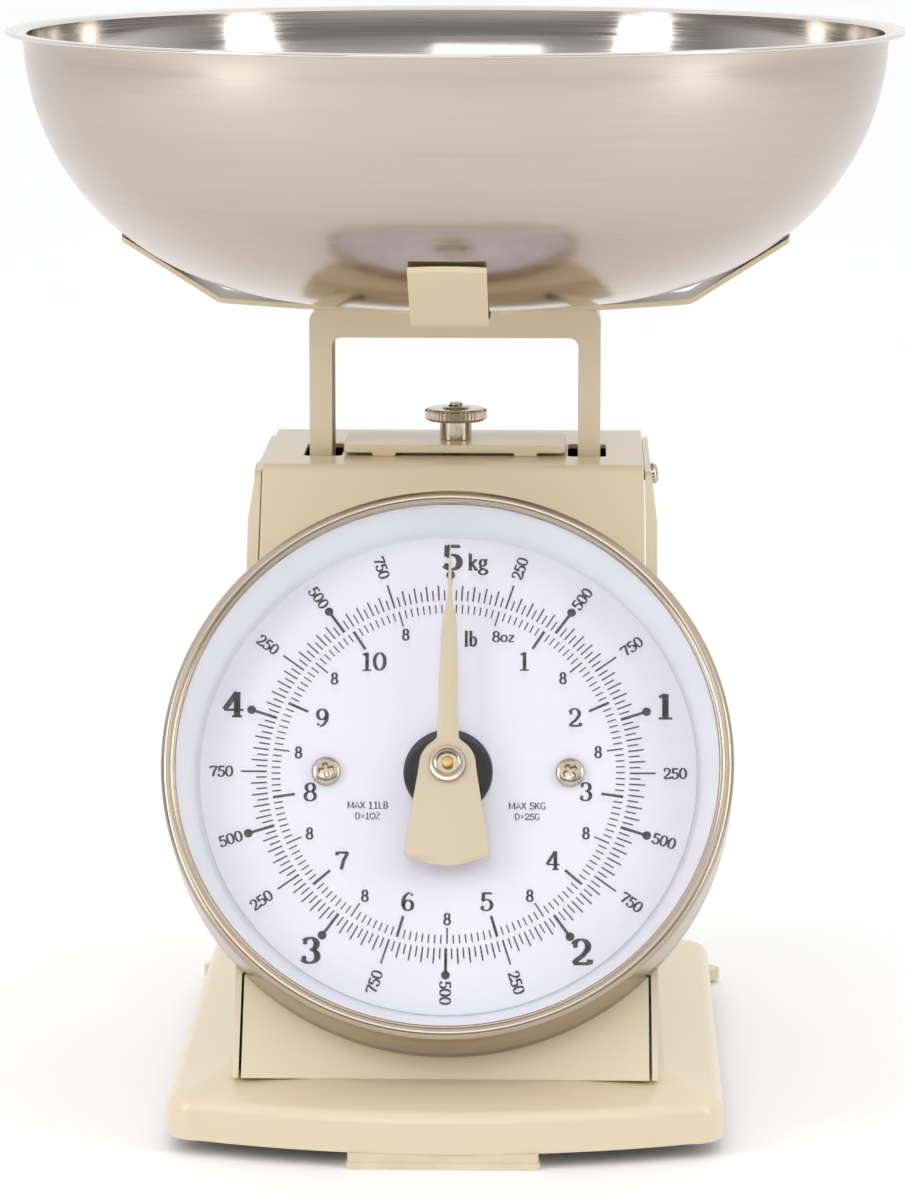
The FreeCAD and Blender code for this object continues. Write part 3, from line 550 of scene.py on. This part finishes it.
def add_card():
    """The card, with a slightly rounded edge."""
    bottom, top = CARD_Z - 1 * MM, CARD_Z
    edge = arc(CARD_R - 0.25 * MM, top - 0.25 * MM, 0.25 * MM, 0.25 * MM, 0, 90, 4)
    bore = 4.9 * MM
    profile = [(bore, bottom), (CARD_R, bottom)] + edge
    profile += [(CARD_R * 0.7, top), (CARD_R * 0.35, top), (bore, top)]
    turned_piece("dial_face", profile, CHASSIS, ["white_card"], DIAL, 192, 30, ["dial_card"])


def add_centre_disc():
    top = CARD_Z + 0.5 * MM
    radius, bore = 11.5 * MM, 2.0 * MM
    edge = arc(radius - 0.3 * MM, top - 0.3 * MM, 0.3 * MM, 0.3 * MM, 0, 90, 4)
    profile = [(4.9 * MM, CARD_Z), (radius, CARD_Z)] + edge + [(9.4 * MM, top), (9.0 * MM, top - 0.1 * MM),
                                                               (8.6 * MM, top), (4.9 * MM, top)]
    turned_piece("hub_disc", profile, CHASSIS, ["black"], DIAL, 96, 30, ["centre_disc"])


# -- printing: ticks, and figures drawn with a broad pen

def pen_arc(cu, cv, ru, rv, start, end, steps=18):
    return arc(cu, cv, ru, rv, start, end, steps)


GLYPHS = {
    "0": ([pen_arc(0.3, 0.5, 0.23, 0.45, 90, 450, 32)], [], 0.62),
    "1": ([[(0.3, 0.06), (0.3, 0.97)], [(0.3, 0.95), (0.12, 0.84)], [(0.1, 0.03), (0.5, 0.03)]], [], 0.56),
    "2": ([pen_arc(0.29, 0.7, 0.21, 0.26, 165, -35) + [(0.34, 0.36), (0.16, 0.19), (0.08, 0.07)],
           [(0.07, 0.075), (0.54, 0.075)], [(0.07, 0.045), (0.54, 0.045)], [(0.54, 0.04), (0.56, 0.22)]],
          [(0.13, 0.72, 0.075)], 0.6),
    "3": ([pen_arc(0.28, 0.74, 0.19, 0.22, 155, -90), pen_arc(0.27, 0.28, 0.23, 0.25, 90, -155)],
          [(0.13, 0.78, 0.07), (0.11, 0.22, 0.075)], 0.58),
    "4": ([[(0.41, 0.04), (0.41, 0.97)], [(0.4, 0.96), (0.04, 0.29)], [(0.03, 0.28), (0.6, 0.28)],
           [(0.27, 0.03), (0.56, 0.03)]], [], 0.62),
    "5": ([[(0.15, 0.94), (0.5, 0.94)], [(0.15, 0.9), (0.52, 0.9)], [(0.15, 0.96), (0.13, 0.52)],
           pen_arc(0.27, 0.31, 0.24, 0.28, 135, -155)], [(0.11, 0.2, 0.075)], 0.58),
    "6": ([pen_arc(0.31, 0.3, 0.2, 0.26, 90, 450, 28), pen_arc(0.42, 0.4, 0.33, 0.55, 92, 195)],
          [(0.47, 0.85, 0.065)], 0.6),
    "7": ([[(0.07, 0.93), (0.55, 0.93)], [(0.07, 0.89), (0.55, 0.89)],
           [(0.54, 0.92), (0.36, 0.5), (0.26, 0.03)], [(0.07, 0.95), (0.06, 0.76)]], [], 0.58),
    "8": ([pen_arc(0.3, 0.73, 0.18, 0.22, 90, 450, 28), pen_arc(0.3, 0.27, 0.22, 0.24, 90, 450, 28)],
          [], 0.6),
    "9": ([pen_arc(0.29, 0.68, 0.2, 0.27, -90, 270, 28), pen_arc(0.18, 0.6, 0.33, 0.55, -88, 15)],
          [(0.13, 0.15, 0.065)], 0.6),
    "k": ([[(0.14, 0.05), (0.14, 1.0)], [(0.14, 0.28), (0.44, 0.62)], [(0.22, 0.4), (0.48, 0.05)],
           [(0.03, 0.03), (0.26, 0.03)], [(0.36, 0.03), (0.58, 0.03)], [(0.03, 0.98), (0.14, 0.98)],
           [(0.34, 0.63), (0.54, 0.63)]], [], 0.6),
    "g": ([pen_arc(0.25, 0.45, 0.16, 0.19, 90, 450, 24), pen_arc(0.27, -0.09, 0.22, 0.15, 90, 450, 24),
           [(0.17, 0.29), (0.12, 0.17), (0.2, 0.1), (0.34, 0.08)], [(0.38, 0.6), (0.52, 0.66)]], [], 0.56),
    "l": ([[(0.15, 0.05), (0.15, 1.0)], [(0.03, 0.03), (0.28, 0.03)], [(0.04, 0.98), (0.15, 0.98)]],
          [], 0.32),
    "b": ([[(0.13, 0.04), (0.13, 1.0)], pen_arc(0.29, 0.33, 0.18, 0.29, 160, -160),
           [(0.02, 0.98), (0.13, 0.98)]], [], 0.56),
    "o": ([pen_arc(0.27, 0.33, 0.2, 0.29, 90, 450, 24)], [], 0.54),
    "z": ([[(0.06, 0.6), (0.44, 0.6)], [(0.43, 0.6), (0.06, 0.05)], [(0.06, 0.04), (0.46, 0.04)]], [], 0.5),
    "M": ([[(0.1, 0.04), (0.1, 0.96)], [(0.1, 0.96), (0.37, 0.1), (0.64, 0.96)],
           [(0.64, 0.04), (0.64, 0.96)]], [], 0.76),
    "A": ([[(0.04, 0.04), (0.3, 0.96), (0.56, 0.04)], [(0.13, 0.34), (0.47, 0.34)]], [], 0.6),
    "X": ([[(0.06, 0.04), (0.52, 0.96)], [(0.06, 0.96), (0.52, 0.04)]], [], 0.58),
    "K": ([[(0.1, 0.04), (0.1, 0.96)], [(0.1, 0.4), (0.5, 0.96)], [(0.22, 0.55), (0.54, 0.04)]], [], 0.6),
    "G": ([pen_arc(0.34, 0.5, 0.27, 0.45, 50, 310, 24) + [(0.53, 0.42)], [(0.36, 0.42), (0.56, 0.42)]],
          [], 0.68),
    "L": ([[(0.1, 0.96), (0.1, 0.05), (0.48, 0.05)]], [], 0.52),
    "B": ([[(0.1, 0.05), (0.1, 0.95)],
           [(0.1, 0.95), (0.28, 0.95)] + pen_arc(0.28, 0.73, 0.17, 0.22, 90, -90) + [(0.1, 0.51)],
           [(0.1, 0.51), (0.3, 0.51)] + pen_arc(0.3, 0.28, 0.2, 0.23, 90, -90) + [(0.1, 0.05)]],
          [], 0.58),
    "D": ([[(0.1, 0.05), (0.1, 0.95), (0.24, 0.95)] + pen_arc(0.24, 0.5, 0.3, 0.45, 90, -90)
           + [(0.1, 0.05)]], [], 0.64),
    "O": ([pen_arc(0.34, 0.5, 0.28, 0.45, 90, 450, 28)], [], 0.7),
    "Z": ([[(0.06, 0.95), (0.5, 0.95), (0.06, 0.05), (0.5, 0.05)]], [], 0.56),
    "=": ([[(0.08, 0.62), (0.46, 0.62)], [(0.08, 0.34), (0.46, 0.34)]], [], 0.54),
    "/": ([[(0.04, -0.05), (0.38, 1.0)]], [], 0.42),
    " ": ([], [], 0.3),
}


def stroke(bm, points, thin, thick, matrix, top):
    """A pen line: wide where it runs up or down, narrow where it runs across."""
    closed = (Vector(points[0]) - Vector(points[-1])).length < 1e-6
    if closed:
        points = points[:-1]
    sides = []
    for i, point in enumerate(points):
        here = Vector(point)
        before = Vector(points[i - 1]) if i or closed else here
        after = Vector(points[(i + 1) % len(points)]) if i < len(points) - 1 or closed else here
        direction = (after - before).normalized()
        width = thin + (thick - thin) * abs(direction.y) ** 1.5
        side = Vector((-direction.y, direction.x)) * width / 2
        sides.append((here + side, here - side))
    rows = []
    for left, right in sides:
        corners = [(left, 0), (right, 0), (right, top), (left, top)]
        rows.append([bm.verts.new(matrix @ Vector((p.x, p.y, z))) for p, z in corners])
    spans = list(zip(rows, rows[1:])) + ([(rows[-1], rows[0])] if closed else [])
    for first, second in spans:
        for i in range(4):
            j = (i + 1) % 4
            bm.faces.new((first[i], first[j], second[j], second[i]))
    if not closed:
        bm.faces.new(rows[0][::-1])
        bm.faces.new(rows[-1])


def dot(bm, u, v, radius, matrix, top, steps=16):
    slab(bm, arc(u, v, radius, radius, 0, 360, steps)[:-1], matrix, top)


def write(bm, text, x, y, height, turn=0.0, thin=0.06, thick=0.17, squeeze=1.0):
    """Figures centred on a point of the card. turn is in degrees, anticlockwise."""
    width = sum(GLYPHS[c][2] for c in text) * squeeze
    place = Matrix.Translation((x, y, 0)) @ Matrix.Rotation(math.radians(turn), 4, "Z")
    place = place @ Matrix.Diagonal((height, height, 1, 1)) @ Matrix.Translation((-width / 2, -0.5, 0))
    for character in text:
        strokes, balls, advance = GLYPHS[character]
        letter = place @ Matrix.Diagonal((squeeze, 1, 1, 1))
        for points in strokes:
            stroke(bm, points, thin, thick, letter, PRINT_T)
        for u, v, radius in balls:
            dot(bm, u, v, radius, letter, PRINT_T, 12)
        place = place @ Matrix.Translation((advance * squeeze, 0, 0))


def tick(bm, angle, inner, outer, width):
    """A short radial line, at an angle clockwise from the top."""
    turn = Matrix.Rotation(-math.radians(angle), 4, "Z")
    corners = [(-width / 2, inner), (width / 2, inner), (width / 2, outer), (-width / 2, outer)]
    slab(bm, corners, turn, PRINT_T)


def around(radius, angle):
    """A point on the card, by radius and by angle clockwise from the top."""
    turn = math.radians(angle)
    return radius * math.sin(turn), radius * math.cos(turn)


KG_TICKS = 200
OZ_TICKS = 176
GRAMS_PER_TICK = 25
DEGREES_PER_KG = 72
KG_PER_POUND = 0.45359237
KG_STEP = 360 / KG_TICKS
OZ_STEP = 360 / 5 * KG_PER_POUND / 16


def print_kilograms(bm):
    inner = 46.7 * MM
    for i in range(KG_TICKS):
        grams = i * GRAMS_PER_TICK
        outer, width = 49.5, 0.36
        if grams % 50 == 0:
            outer, width = 50.8, 0.4
        if grams % 250 == 0:
            outer, width = 53.4, 0.48
        if grams % 500 == 0:
            outer, width = 53.4, 0.75
            dot(bm, *around(53.7 * MM, i * KG_STEP), 1.15 * MM, Matrix(), PRINT_T)
        tick(bm, i * KG_STEP, inner, outer * MM, width * MM)
    for kilo in range(1, 5):
        write(bm, str(kilo), *around(58.6 * MM, kilo * DEGREES_PER_KG), 7.0 * MM, thin=0.09, thick=0.19,
              squeeze=1.25)
    write(bm, "5", 0.4 * MM, 58.6 * MM, 7.2 * MM, thin=0.09, thick=0.2, squeeze=1.2)
    write(bm, "kg", 7.1 * MM, 57.3 * MM, 4.6 * MM, thin=0.09, thick=0.18, squeeze=1.0)
    for quarter in range(1, 20):
        if quarter % 4 == 0:
            continue
        angle = quarter * 18
        turn = 90 - angle if angle <= 180 else 270 - angle
        write(bm, str(quarter % 4 * 250), *around(58.4 * MM, angle), 3.0 * MM, turn, 0.11, 0.18, 1.15)


def print_pounds(bm):
    outer = 45.5 * MM
    for i in range(OZ_TICKS):
        inner, width = 43.2, 0.34
        if i % 8 == 0:
            inner, width = 41.3, 0.4
        if i % 16 == 0:
            inner, width = 39.8, 0.72
        tick(bm, i * OZ_STEP, inner * MM, outer, width * MM)
    for pound in range(1, 11):
        write(bm, str(pound), *around(35.8 * MM, pound * 16 * OZ_STEP), 5.1 * MM, thin=0.08, thick=0.16,
              squeeze=1.15)
    for half in range(1, 11):
        write(bm, "8", *around(39.0 * MM, (half + 0.5) * 16 * OZ_STEP), 3.2 * MM, thin=0.12, thick=0.2)
    write(bm, "0", -0.5 * MM, 36.0 * MM, 5.2 * MM, thin=0.08, thick=0.22)
    write(bm, "lb", 5.4 * MM, 36.2 * MM, 4.3 * MM, thin=0.09, thick=0.2, squeeze=0.9)
    x, y = around(38.4 * MM, 8 * OZ_STEP)
    write(bm, "8oz", x + 3.1 * MM, y, 3.0 * MM, thin=0.11, thick=0.17, squeeze=1.2)


def print_capacity(bm):
    """Generic capacity marks on both sides of the middle."""
    for x, upper, lower in ((20.5, "MAX 5KG", "D=25G"), (-20.5, "MAX 11LB", "D=1OZ")):
        write(bm, upper, x * MM, -8.9 * MM, 1.9 * MM, thin=0.12, thick=0.14, squeeze=1.25)
        write(bm, lower, x * MM, -11.8 * MM, 1.8 * MM, thin=0.12, thick=0.14, squeeze=1.2)


def add_printing():
    for name, draw in (("kilogram_print", print_kilograms), ("pound_print", print_pounds),
                       ("capacity_print", print_capacity)):
        bm = bmesh.new()
        draw(bm)
        bmesh.ops.recalc_face_normals(bm, faces=bm.faces)
        mesh = bpy.data.meshes.new(name)
        bm.to_mesh(mesh)
        bm.free()
        matrix = DIAL @ Matrix.Translation((0, 0, CARD_Z + 0.005 * MM))
        add_piece(name, mesh, CHASSIS, ["ink"], matrix, 30)


# ---------------------------------------------------------------- pointer

def add_hand():
    """A stamped hand with a crease along its arm, rolled edges and a broad tail."""
    thick = 0.8 * MM
    rows = [(-26.8, 0.6), (-26.5, 4.0), (-25.6, 7.8), (-24.2, 10.7), (-23.4, 11.0), (-20, 10.5),
            (-15, 9.65), (-10, 8.85), (-5, 8.05), (-2.5, 7.65)]
    hub = [(y, math.sqrt(7.3 ** 2 - y ** 2)) for y in (0, 1, 2, 3, 4, 4.8, 5.5, 6.2)]
    rows += hub + [(7.2, 2.85), (12, 2.7), (20, 2.5), (28, 2.3), (35, 2.05), (39.5, 1.75), (41.5, 1.3),
                   (44, 0.72), (50, 0.48), (56, 0.28), (60, 0.1)]
    bm = bmesh.new()
    previous = None
    for y, half in rows:
        crease = 0.45 if y > 8 else 0.0
        levels = ((-1, 0, 0), (-0.98, 0.75, 0), (-0.9, 1, 0), (0, 1, crease), (0.9, 1, 0), (0.98, 0.75, 0),
                  (1, 0, 0), (0.9, -0.1, 0), (-0.9, -0.1, 0))
        row = []
        for side, level, lift in levels:
            z = HAND_Z + thick * max(level, 0) + lift * MM * min(half / 2, 1) * 0.6
            row.append(bm.verts.new((side * half * MM, y * MM, z)))
        if previous:
            for i in range(len(row)):
                j = (i + 1) % len(row)
                bm.faces.new((previous[i], previous[j], row[j], row[i]))
        else:
            bm.faces.new(row[::-1])
        previous = row
    bm.faces.new(previous)
    mesh = finish_mesh(bm, "pointer_blade")
    add_piece("pointer_blade", mesh, POINTER, ["hand"], DIAL, 40, ["pointer_hand"])


def knurl(teeth_share):
    """A radius factor for a ring: alternate points stand in by a share of the radius."""
    def factor(index, i):
        return 1 - teeth_share[index] * (0.5 + 0.5 * math.cos(math.pi * i)) if teeth_share[index] else 1
    return factor


def add_hand_nut():
    base = HAND_Z + 0.8 * MM
    points = [(1.5, 0), (4.6, 0), (4.9, 0.25), (4.9, 0.95), (4.6, 1.2), (3.9, 1.3), (3.5, 1.7), (3.3, 2.1),
              (3.1, 2.2), (2.9, 2.1), (2.8, 1.7), (2.7, 0.5), (1.5, 0.5)]
    depth = [0, 0, 0.07, 0.07, 0] + [0] * 8
    profile = [(r * MM, base + z * MM) for r, z in points]
    turned_piece("hand_nut", profile, POINTER, ["nickel"], DIAL, 72, 25, ["pointer_nut"],
                 wobble=knurl(depth))


def add_spindle_tip():
    end = 17.9 * MM
    start = -41.0 * MM
    profile = [(0, start), (1.3 * MM, start), (1.5 * MM, start + 0.3 * MM), (1.5 * MM, end - 0.5 * MM)]
    profile += arc(0.9 * MM, end - 0.5 * MM, 0.6 * MM, 0.5 * MM, 0, 90, 5) + [(0, end)]
    turned_piece("spindle_pin", profile, POINTER, ["brass"], DIAL, 48, 30, ["spindle"])


# ---------------------------------------------------------------- screws

def add_screw(name, matrix, radius, height, body, shank=2.0):
    """A domed pan head with a cross recess, built as one mesh."""
    bm = bmesh.new()
    arm, slot_half = 0.56 * radius, 0.15 * radius

    def depth(x, y):
        """How deep the cross recess is at a point of the head."""
        sunk = 0.0
        for a, b in ((abs(x), abs(y)), (abs(y), abs(x))):
            along = max(0.0, min(1.0, (arm - a) / (0.16 * radius)))
            across = max(0.0, min(1.0, (slot_half - b) / (0.07 * radius) + 0.5))
            sunk = max(sunk, along * across)
        return sunk * height * 0.5

    def top(r):
        share = r / radius
        return height * (0.42 + 0.58 * math.sqrt(max(0.0, 1 - share ** 2.6)))

    size = 40
    grid = {}
    for i in range(-size, size + 1):
        for j in range(-size, size + 1):
            u, v = i / size, j / size
            x = u * math.sqrt(1 - v * v / 2) * radius
            y = v * math.sqrt(1 - u * u / 2) * radius
            grid[i, j] = bm.verts.new((x, y, top(math.hypot(x, y)) - depth(x, y)))
    for i in range(-size, size):
        for j in range(-size, size):
            bm.faces.new((grid[i, j], grid[i + 1, j], grid[i + 1, j + 1], grid[i, j + 1]))
    rim = [grid[i, -size] for i in range(-size, size)] + [grid[size, j] for j in range(-size, size)]
    rim += [grid[i, size] for i in range(size, -size, -1)]
    rim += [grid[-size, j] for j in range(size, -size, -1)]
    for level, reach in ((0.0, 1.0), (0.0, 0.5), (-shank / height, 0.5)):
        ring = []
        for vertex in rim:
            x, y = vertex.co.x, vertex.co.y
            length = max(math.hypot(x, y), 1e-9)
            ring.append(bm.verts.new((x / length * radius * reach, y / length * radius * reach,
                                      level * height)))
        for i in range(len(rim)):
            j = (i + 1) % len(rim)
            bm.faces.new((rim[i], ring[i], ring[j], rim[j]))
        rim = ring
    bm.faces.new(rim[::-1])
    mesh = finish_mesh(bm, name)
    return add_piece(name, mesh, body, ["nickel"], matrix, 38)


def add_dial_screws():
    x = 31.4 * MM
    for name, sign, turn in (("left_dial_screw", -1, 12), ("right_dial_screw", 1, 33)):
        matrix = DIAL @ Matrix.Translation((sign * x, 0, CARD_Z))
        matrix = matrix @ Matrix.Rotation(math.radians(turn), 4, "Z")
        screw = add_screw(name, matrix, 3.8 * MM, 2.2 * MM, CHASSIS, 2 * MM)
        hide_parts("dial_screws")


# ---------------------------------------------------------------- zero knob

KNOB_DRAWN_R = 8.5
KNOB_SEGMENTS = 88


def add_knob():
    """A straight-knurled nut with chamfers, on a round neck."""
    radius = half_width("zero_knob")
    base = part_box("zero_knob")[0].z
    points = [(2.05, 0), (4.1, 0), (4.3, 0.2), (4.3, 1.5), (4.3, 3.0), (4.3, 4.9), (4.5, 5.2),
              (7.5, 5.2), (8.0, 5.5), (8.5, 5.9), (8.5, 7.8), (8.0, 8.2), (7.5, 8.45), (7.0, 8.5),
              (4.0, 8.45), (3.6, 8.9), (3.2, 9.0), (2.05, 9.0)]
    profile = [(r * MM * (radius / (KNOB_DRAWN_R * MM)), base + z * MM) for r, z in points]
    depth = [0.0] * len(points)
    depth[8] = depth[11] = 0.04
    depth[9] = depth[10] = 0.085
    turned_piece("zero_nut", profile, KNOB, ["nickel"], UPRIGHT, KNOB_SEGMENTS, 24,
                 ["zero_knob"], wobble=knurl(depth))


def add_stud():
    """The threaded stud, with a rolled thread where it shows."""
    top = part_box("adjuster_screw")[1].z
    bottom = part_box("adjuster_screw")[0].z
    bm = bmesh.new()
    pitch, segments, radius = 0.7 * MM, 24, 2.0 * MM
    turns = (top - 0.4 * MM - bottom) / pitch
    count = int(turns * segments)
    rows = []
    for i in range(count + 1):
        angle = 2 * math.pi * i / segments
        z = bottom + i / segments * pitch
        ring = []
        for k, reach in enumerate((0.84, 1.0)):
            height = z + k * pitch / 2
            x, y = radius * reach * math.cos(angle), radius * reach * math.sin(angle)
            ring.append(bm.verts.new((x, y, height)))
        rows.append(ring)
    for i in range(count):
        bm.faces.new((rows[i][0], rows[i + 1][0], rows[i + 1][1], rows[i][1]))
        if i + segments <= count:
            j = i + segments
            if j + 1 <= count:
                bm.faces.new((rows[i][1], rows[i + 1][1], rows[j + 1][0], rows[j][0]))
    cap = arc(0, 0, 1, 1, 0, 360, segments)[:-1]
    low = [bm.verts.new((radius * 0.86 * x, radius * 0.86 * y, bottom)) for x, y in cap]
    high = [bm.verts.new((radius * 0.86 * x, radius * 0.86 * y, top - 0.15 * MM)) for x, y in cap]
    tip = [bm.verts.new((radius * 0.72 * x, radius * 0.72 * y, top)) for x, y in cap]
    bm.faces.new(low[::-1])
    bm.faces.new(tip)
    for first, second in ((low, high), (high, tip)):
        for i in range(segments):
            j = (i + 1) % segments
            bm.faces.new((first[i], first[j], second[j], second[i]))
    mesh = finish_mesh(bm, "threaded_stud")
    add_piece("threaded_stud", mesh, ADJUSTER, ["nickel"], UPRIGHT, 40, ["adjuster_screw"])


# ---------------------------------------------------------------- springs

SPRING_TURNS = 18
STEPS_PER_TURN = 28
SPRING_WIRE_R = 0.8 * MM
SPRING_COIL_R = 5.2 * MM
SPRING_ENDS = (0.0852, 0.1416)  # heights of the wire's lower and upper end


def add_spring(node, name):
    """A wound spring hung from the housing down to the platform, built between fixed end heights and not
    attached to either.
    """
    x = centre(node).x
    steps, sides = STEPS_PER_TURN * SPRING_TURNS, 10
    low, high = SPRING_ENDS
    bm = bmesh.new()
    rings = []
    for i in range(steps + 1):
        share = i / steps
        turn = 2 * math.pi * SPRING_TURNS * share
        out = Vector((math.cos(turn), math.sin(turn), 0))
        middle = Vector((x, AXIS_Y, low + (high - low) * share)) + out * SPRING_COIL_R
        ring = []
        for k in range(sides):
            angle = 2 * math.pi * k / sides
            way = out * math.cos(angle) + Vector((0, 0, math.sin(angle)))
            ring.append(bm.verts.new(middle + way * SPRING_WIRE_R))
        rings.append(ring)
    for first, second in zip(rings, rings[1:]):
        for k in range(sides):
            j = (k + 1) % sides
            bm.faces.new((first[k], first[j], second[j], second[k]))
    bm.faces.new(rings[0][::-1])
    bm.faces.new(rings[-1])
    mesh = finish_mesh(bm, name)
    mesh.materials.append(MATERIALS["spring_steel"])
    mesh.shade_smooth()
    mesh.set_sharp_from_angle(angle=math.radians(60))
    piece = bpy.data.objects.new(name, mesh)
    bpy.context.scene.collection.objects.link(piece)
    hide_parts(node)
    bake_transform(piece)


# ---------------------------------------------------------------- CAD nodes that stay

FINISHES = {
    "cream_paint": ["base_skirt", "front_cover", "right_cheek", "left_cheek", "rear_cover",
                    "adjuster_bridge", "yoke", "platform"],
    "foot": ["front_foot", "rear_foot"],
    "zinc": ["bottom_cover", "bottom_screws", "right_frame_plate", "left_frame_plate", "spring_hanger",
             "platform_rivets", "crossbar", "upper_lever", "lower_lever", "spindle_bracket"],
    "nickel": ["cheek_screws", "rear_screws"],
    "steel": ["upper_pivot_shaft", "lower_pivot_shaft", "lever_pins"],
    "brass": ["rack", "dial_bearing", "pinion"],
}
EDGE_WIDTHS = {"base_skirt": 0.8, "front_cover": 0.45, "right_cheek": 0.45, "left_cheek": 0.45,
               "rear_cover": 0.45, "adjuster_bridge": 0.4, "yoke": 0.5, "platform": 0.5,
               "front_foot": 0.5, "rear_foot": 0.6, "bottom_cover": 0.3}


def dress_cad_nodes():
    for finish, nodes in FINISHES.items():
        for name in nodes:
            node = frame["nodes"][name]
            node.data.materials.clear()
            node.data.materials.append(MATERIALS[finish])
            if name in EDGE_WIDTHS:
                soften(node, EDGE_WIDTHS[name] * MM)


# ---------------------------------------------------------------- floor

def add_floor():
    """A wide pale sheet that runs far behind the object."""
    bm = bmesh.new()
    corners = [(-6.0, -4.0), (6.0, -4.0), (6.0, 9.0), (-6.0, 9.0)]
    bm.faces.new([bm.verts.new((x, y, 0)) for x, y in corners])
    mesh = finish_mesh(bm, "floor")
    made = Shader("pale_floor", (0.94, 0.94, 0.94), 0.6)
    made.drive("Base Color", made.colours(made.noise(3, detail=2), [(0.3, (0.93, 0.93, 0.93)),
                                                             (0.7, (0.95, 0.95, 0.95))]))
    mesh.materials.append(made.material)
    floor = bpy.data.objects.new("floor", mesh)
    bpy.context.scene.collection.objects.link(floor)


add_camera()
add_studio()
add_floor()
dress_cad_nodes()
add_bowl()
add_bezel()
add_lens()
add_pan()
add_card()
add_centre_disc()
add_printing()
add_hand()
add_hand_nut()
add_spindle_tip()
add_dial_screws()
add_knob()
add_stud()
add_spring("left_spring", "left_coil")
add_spring("right_spring", "right_coil")
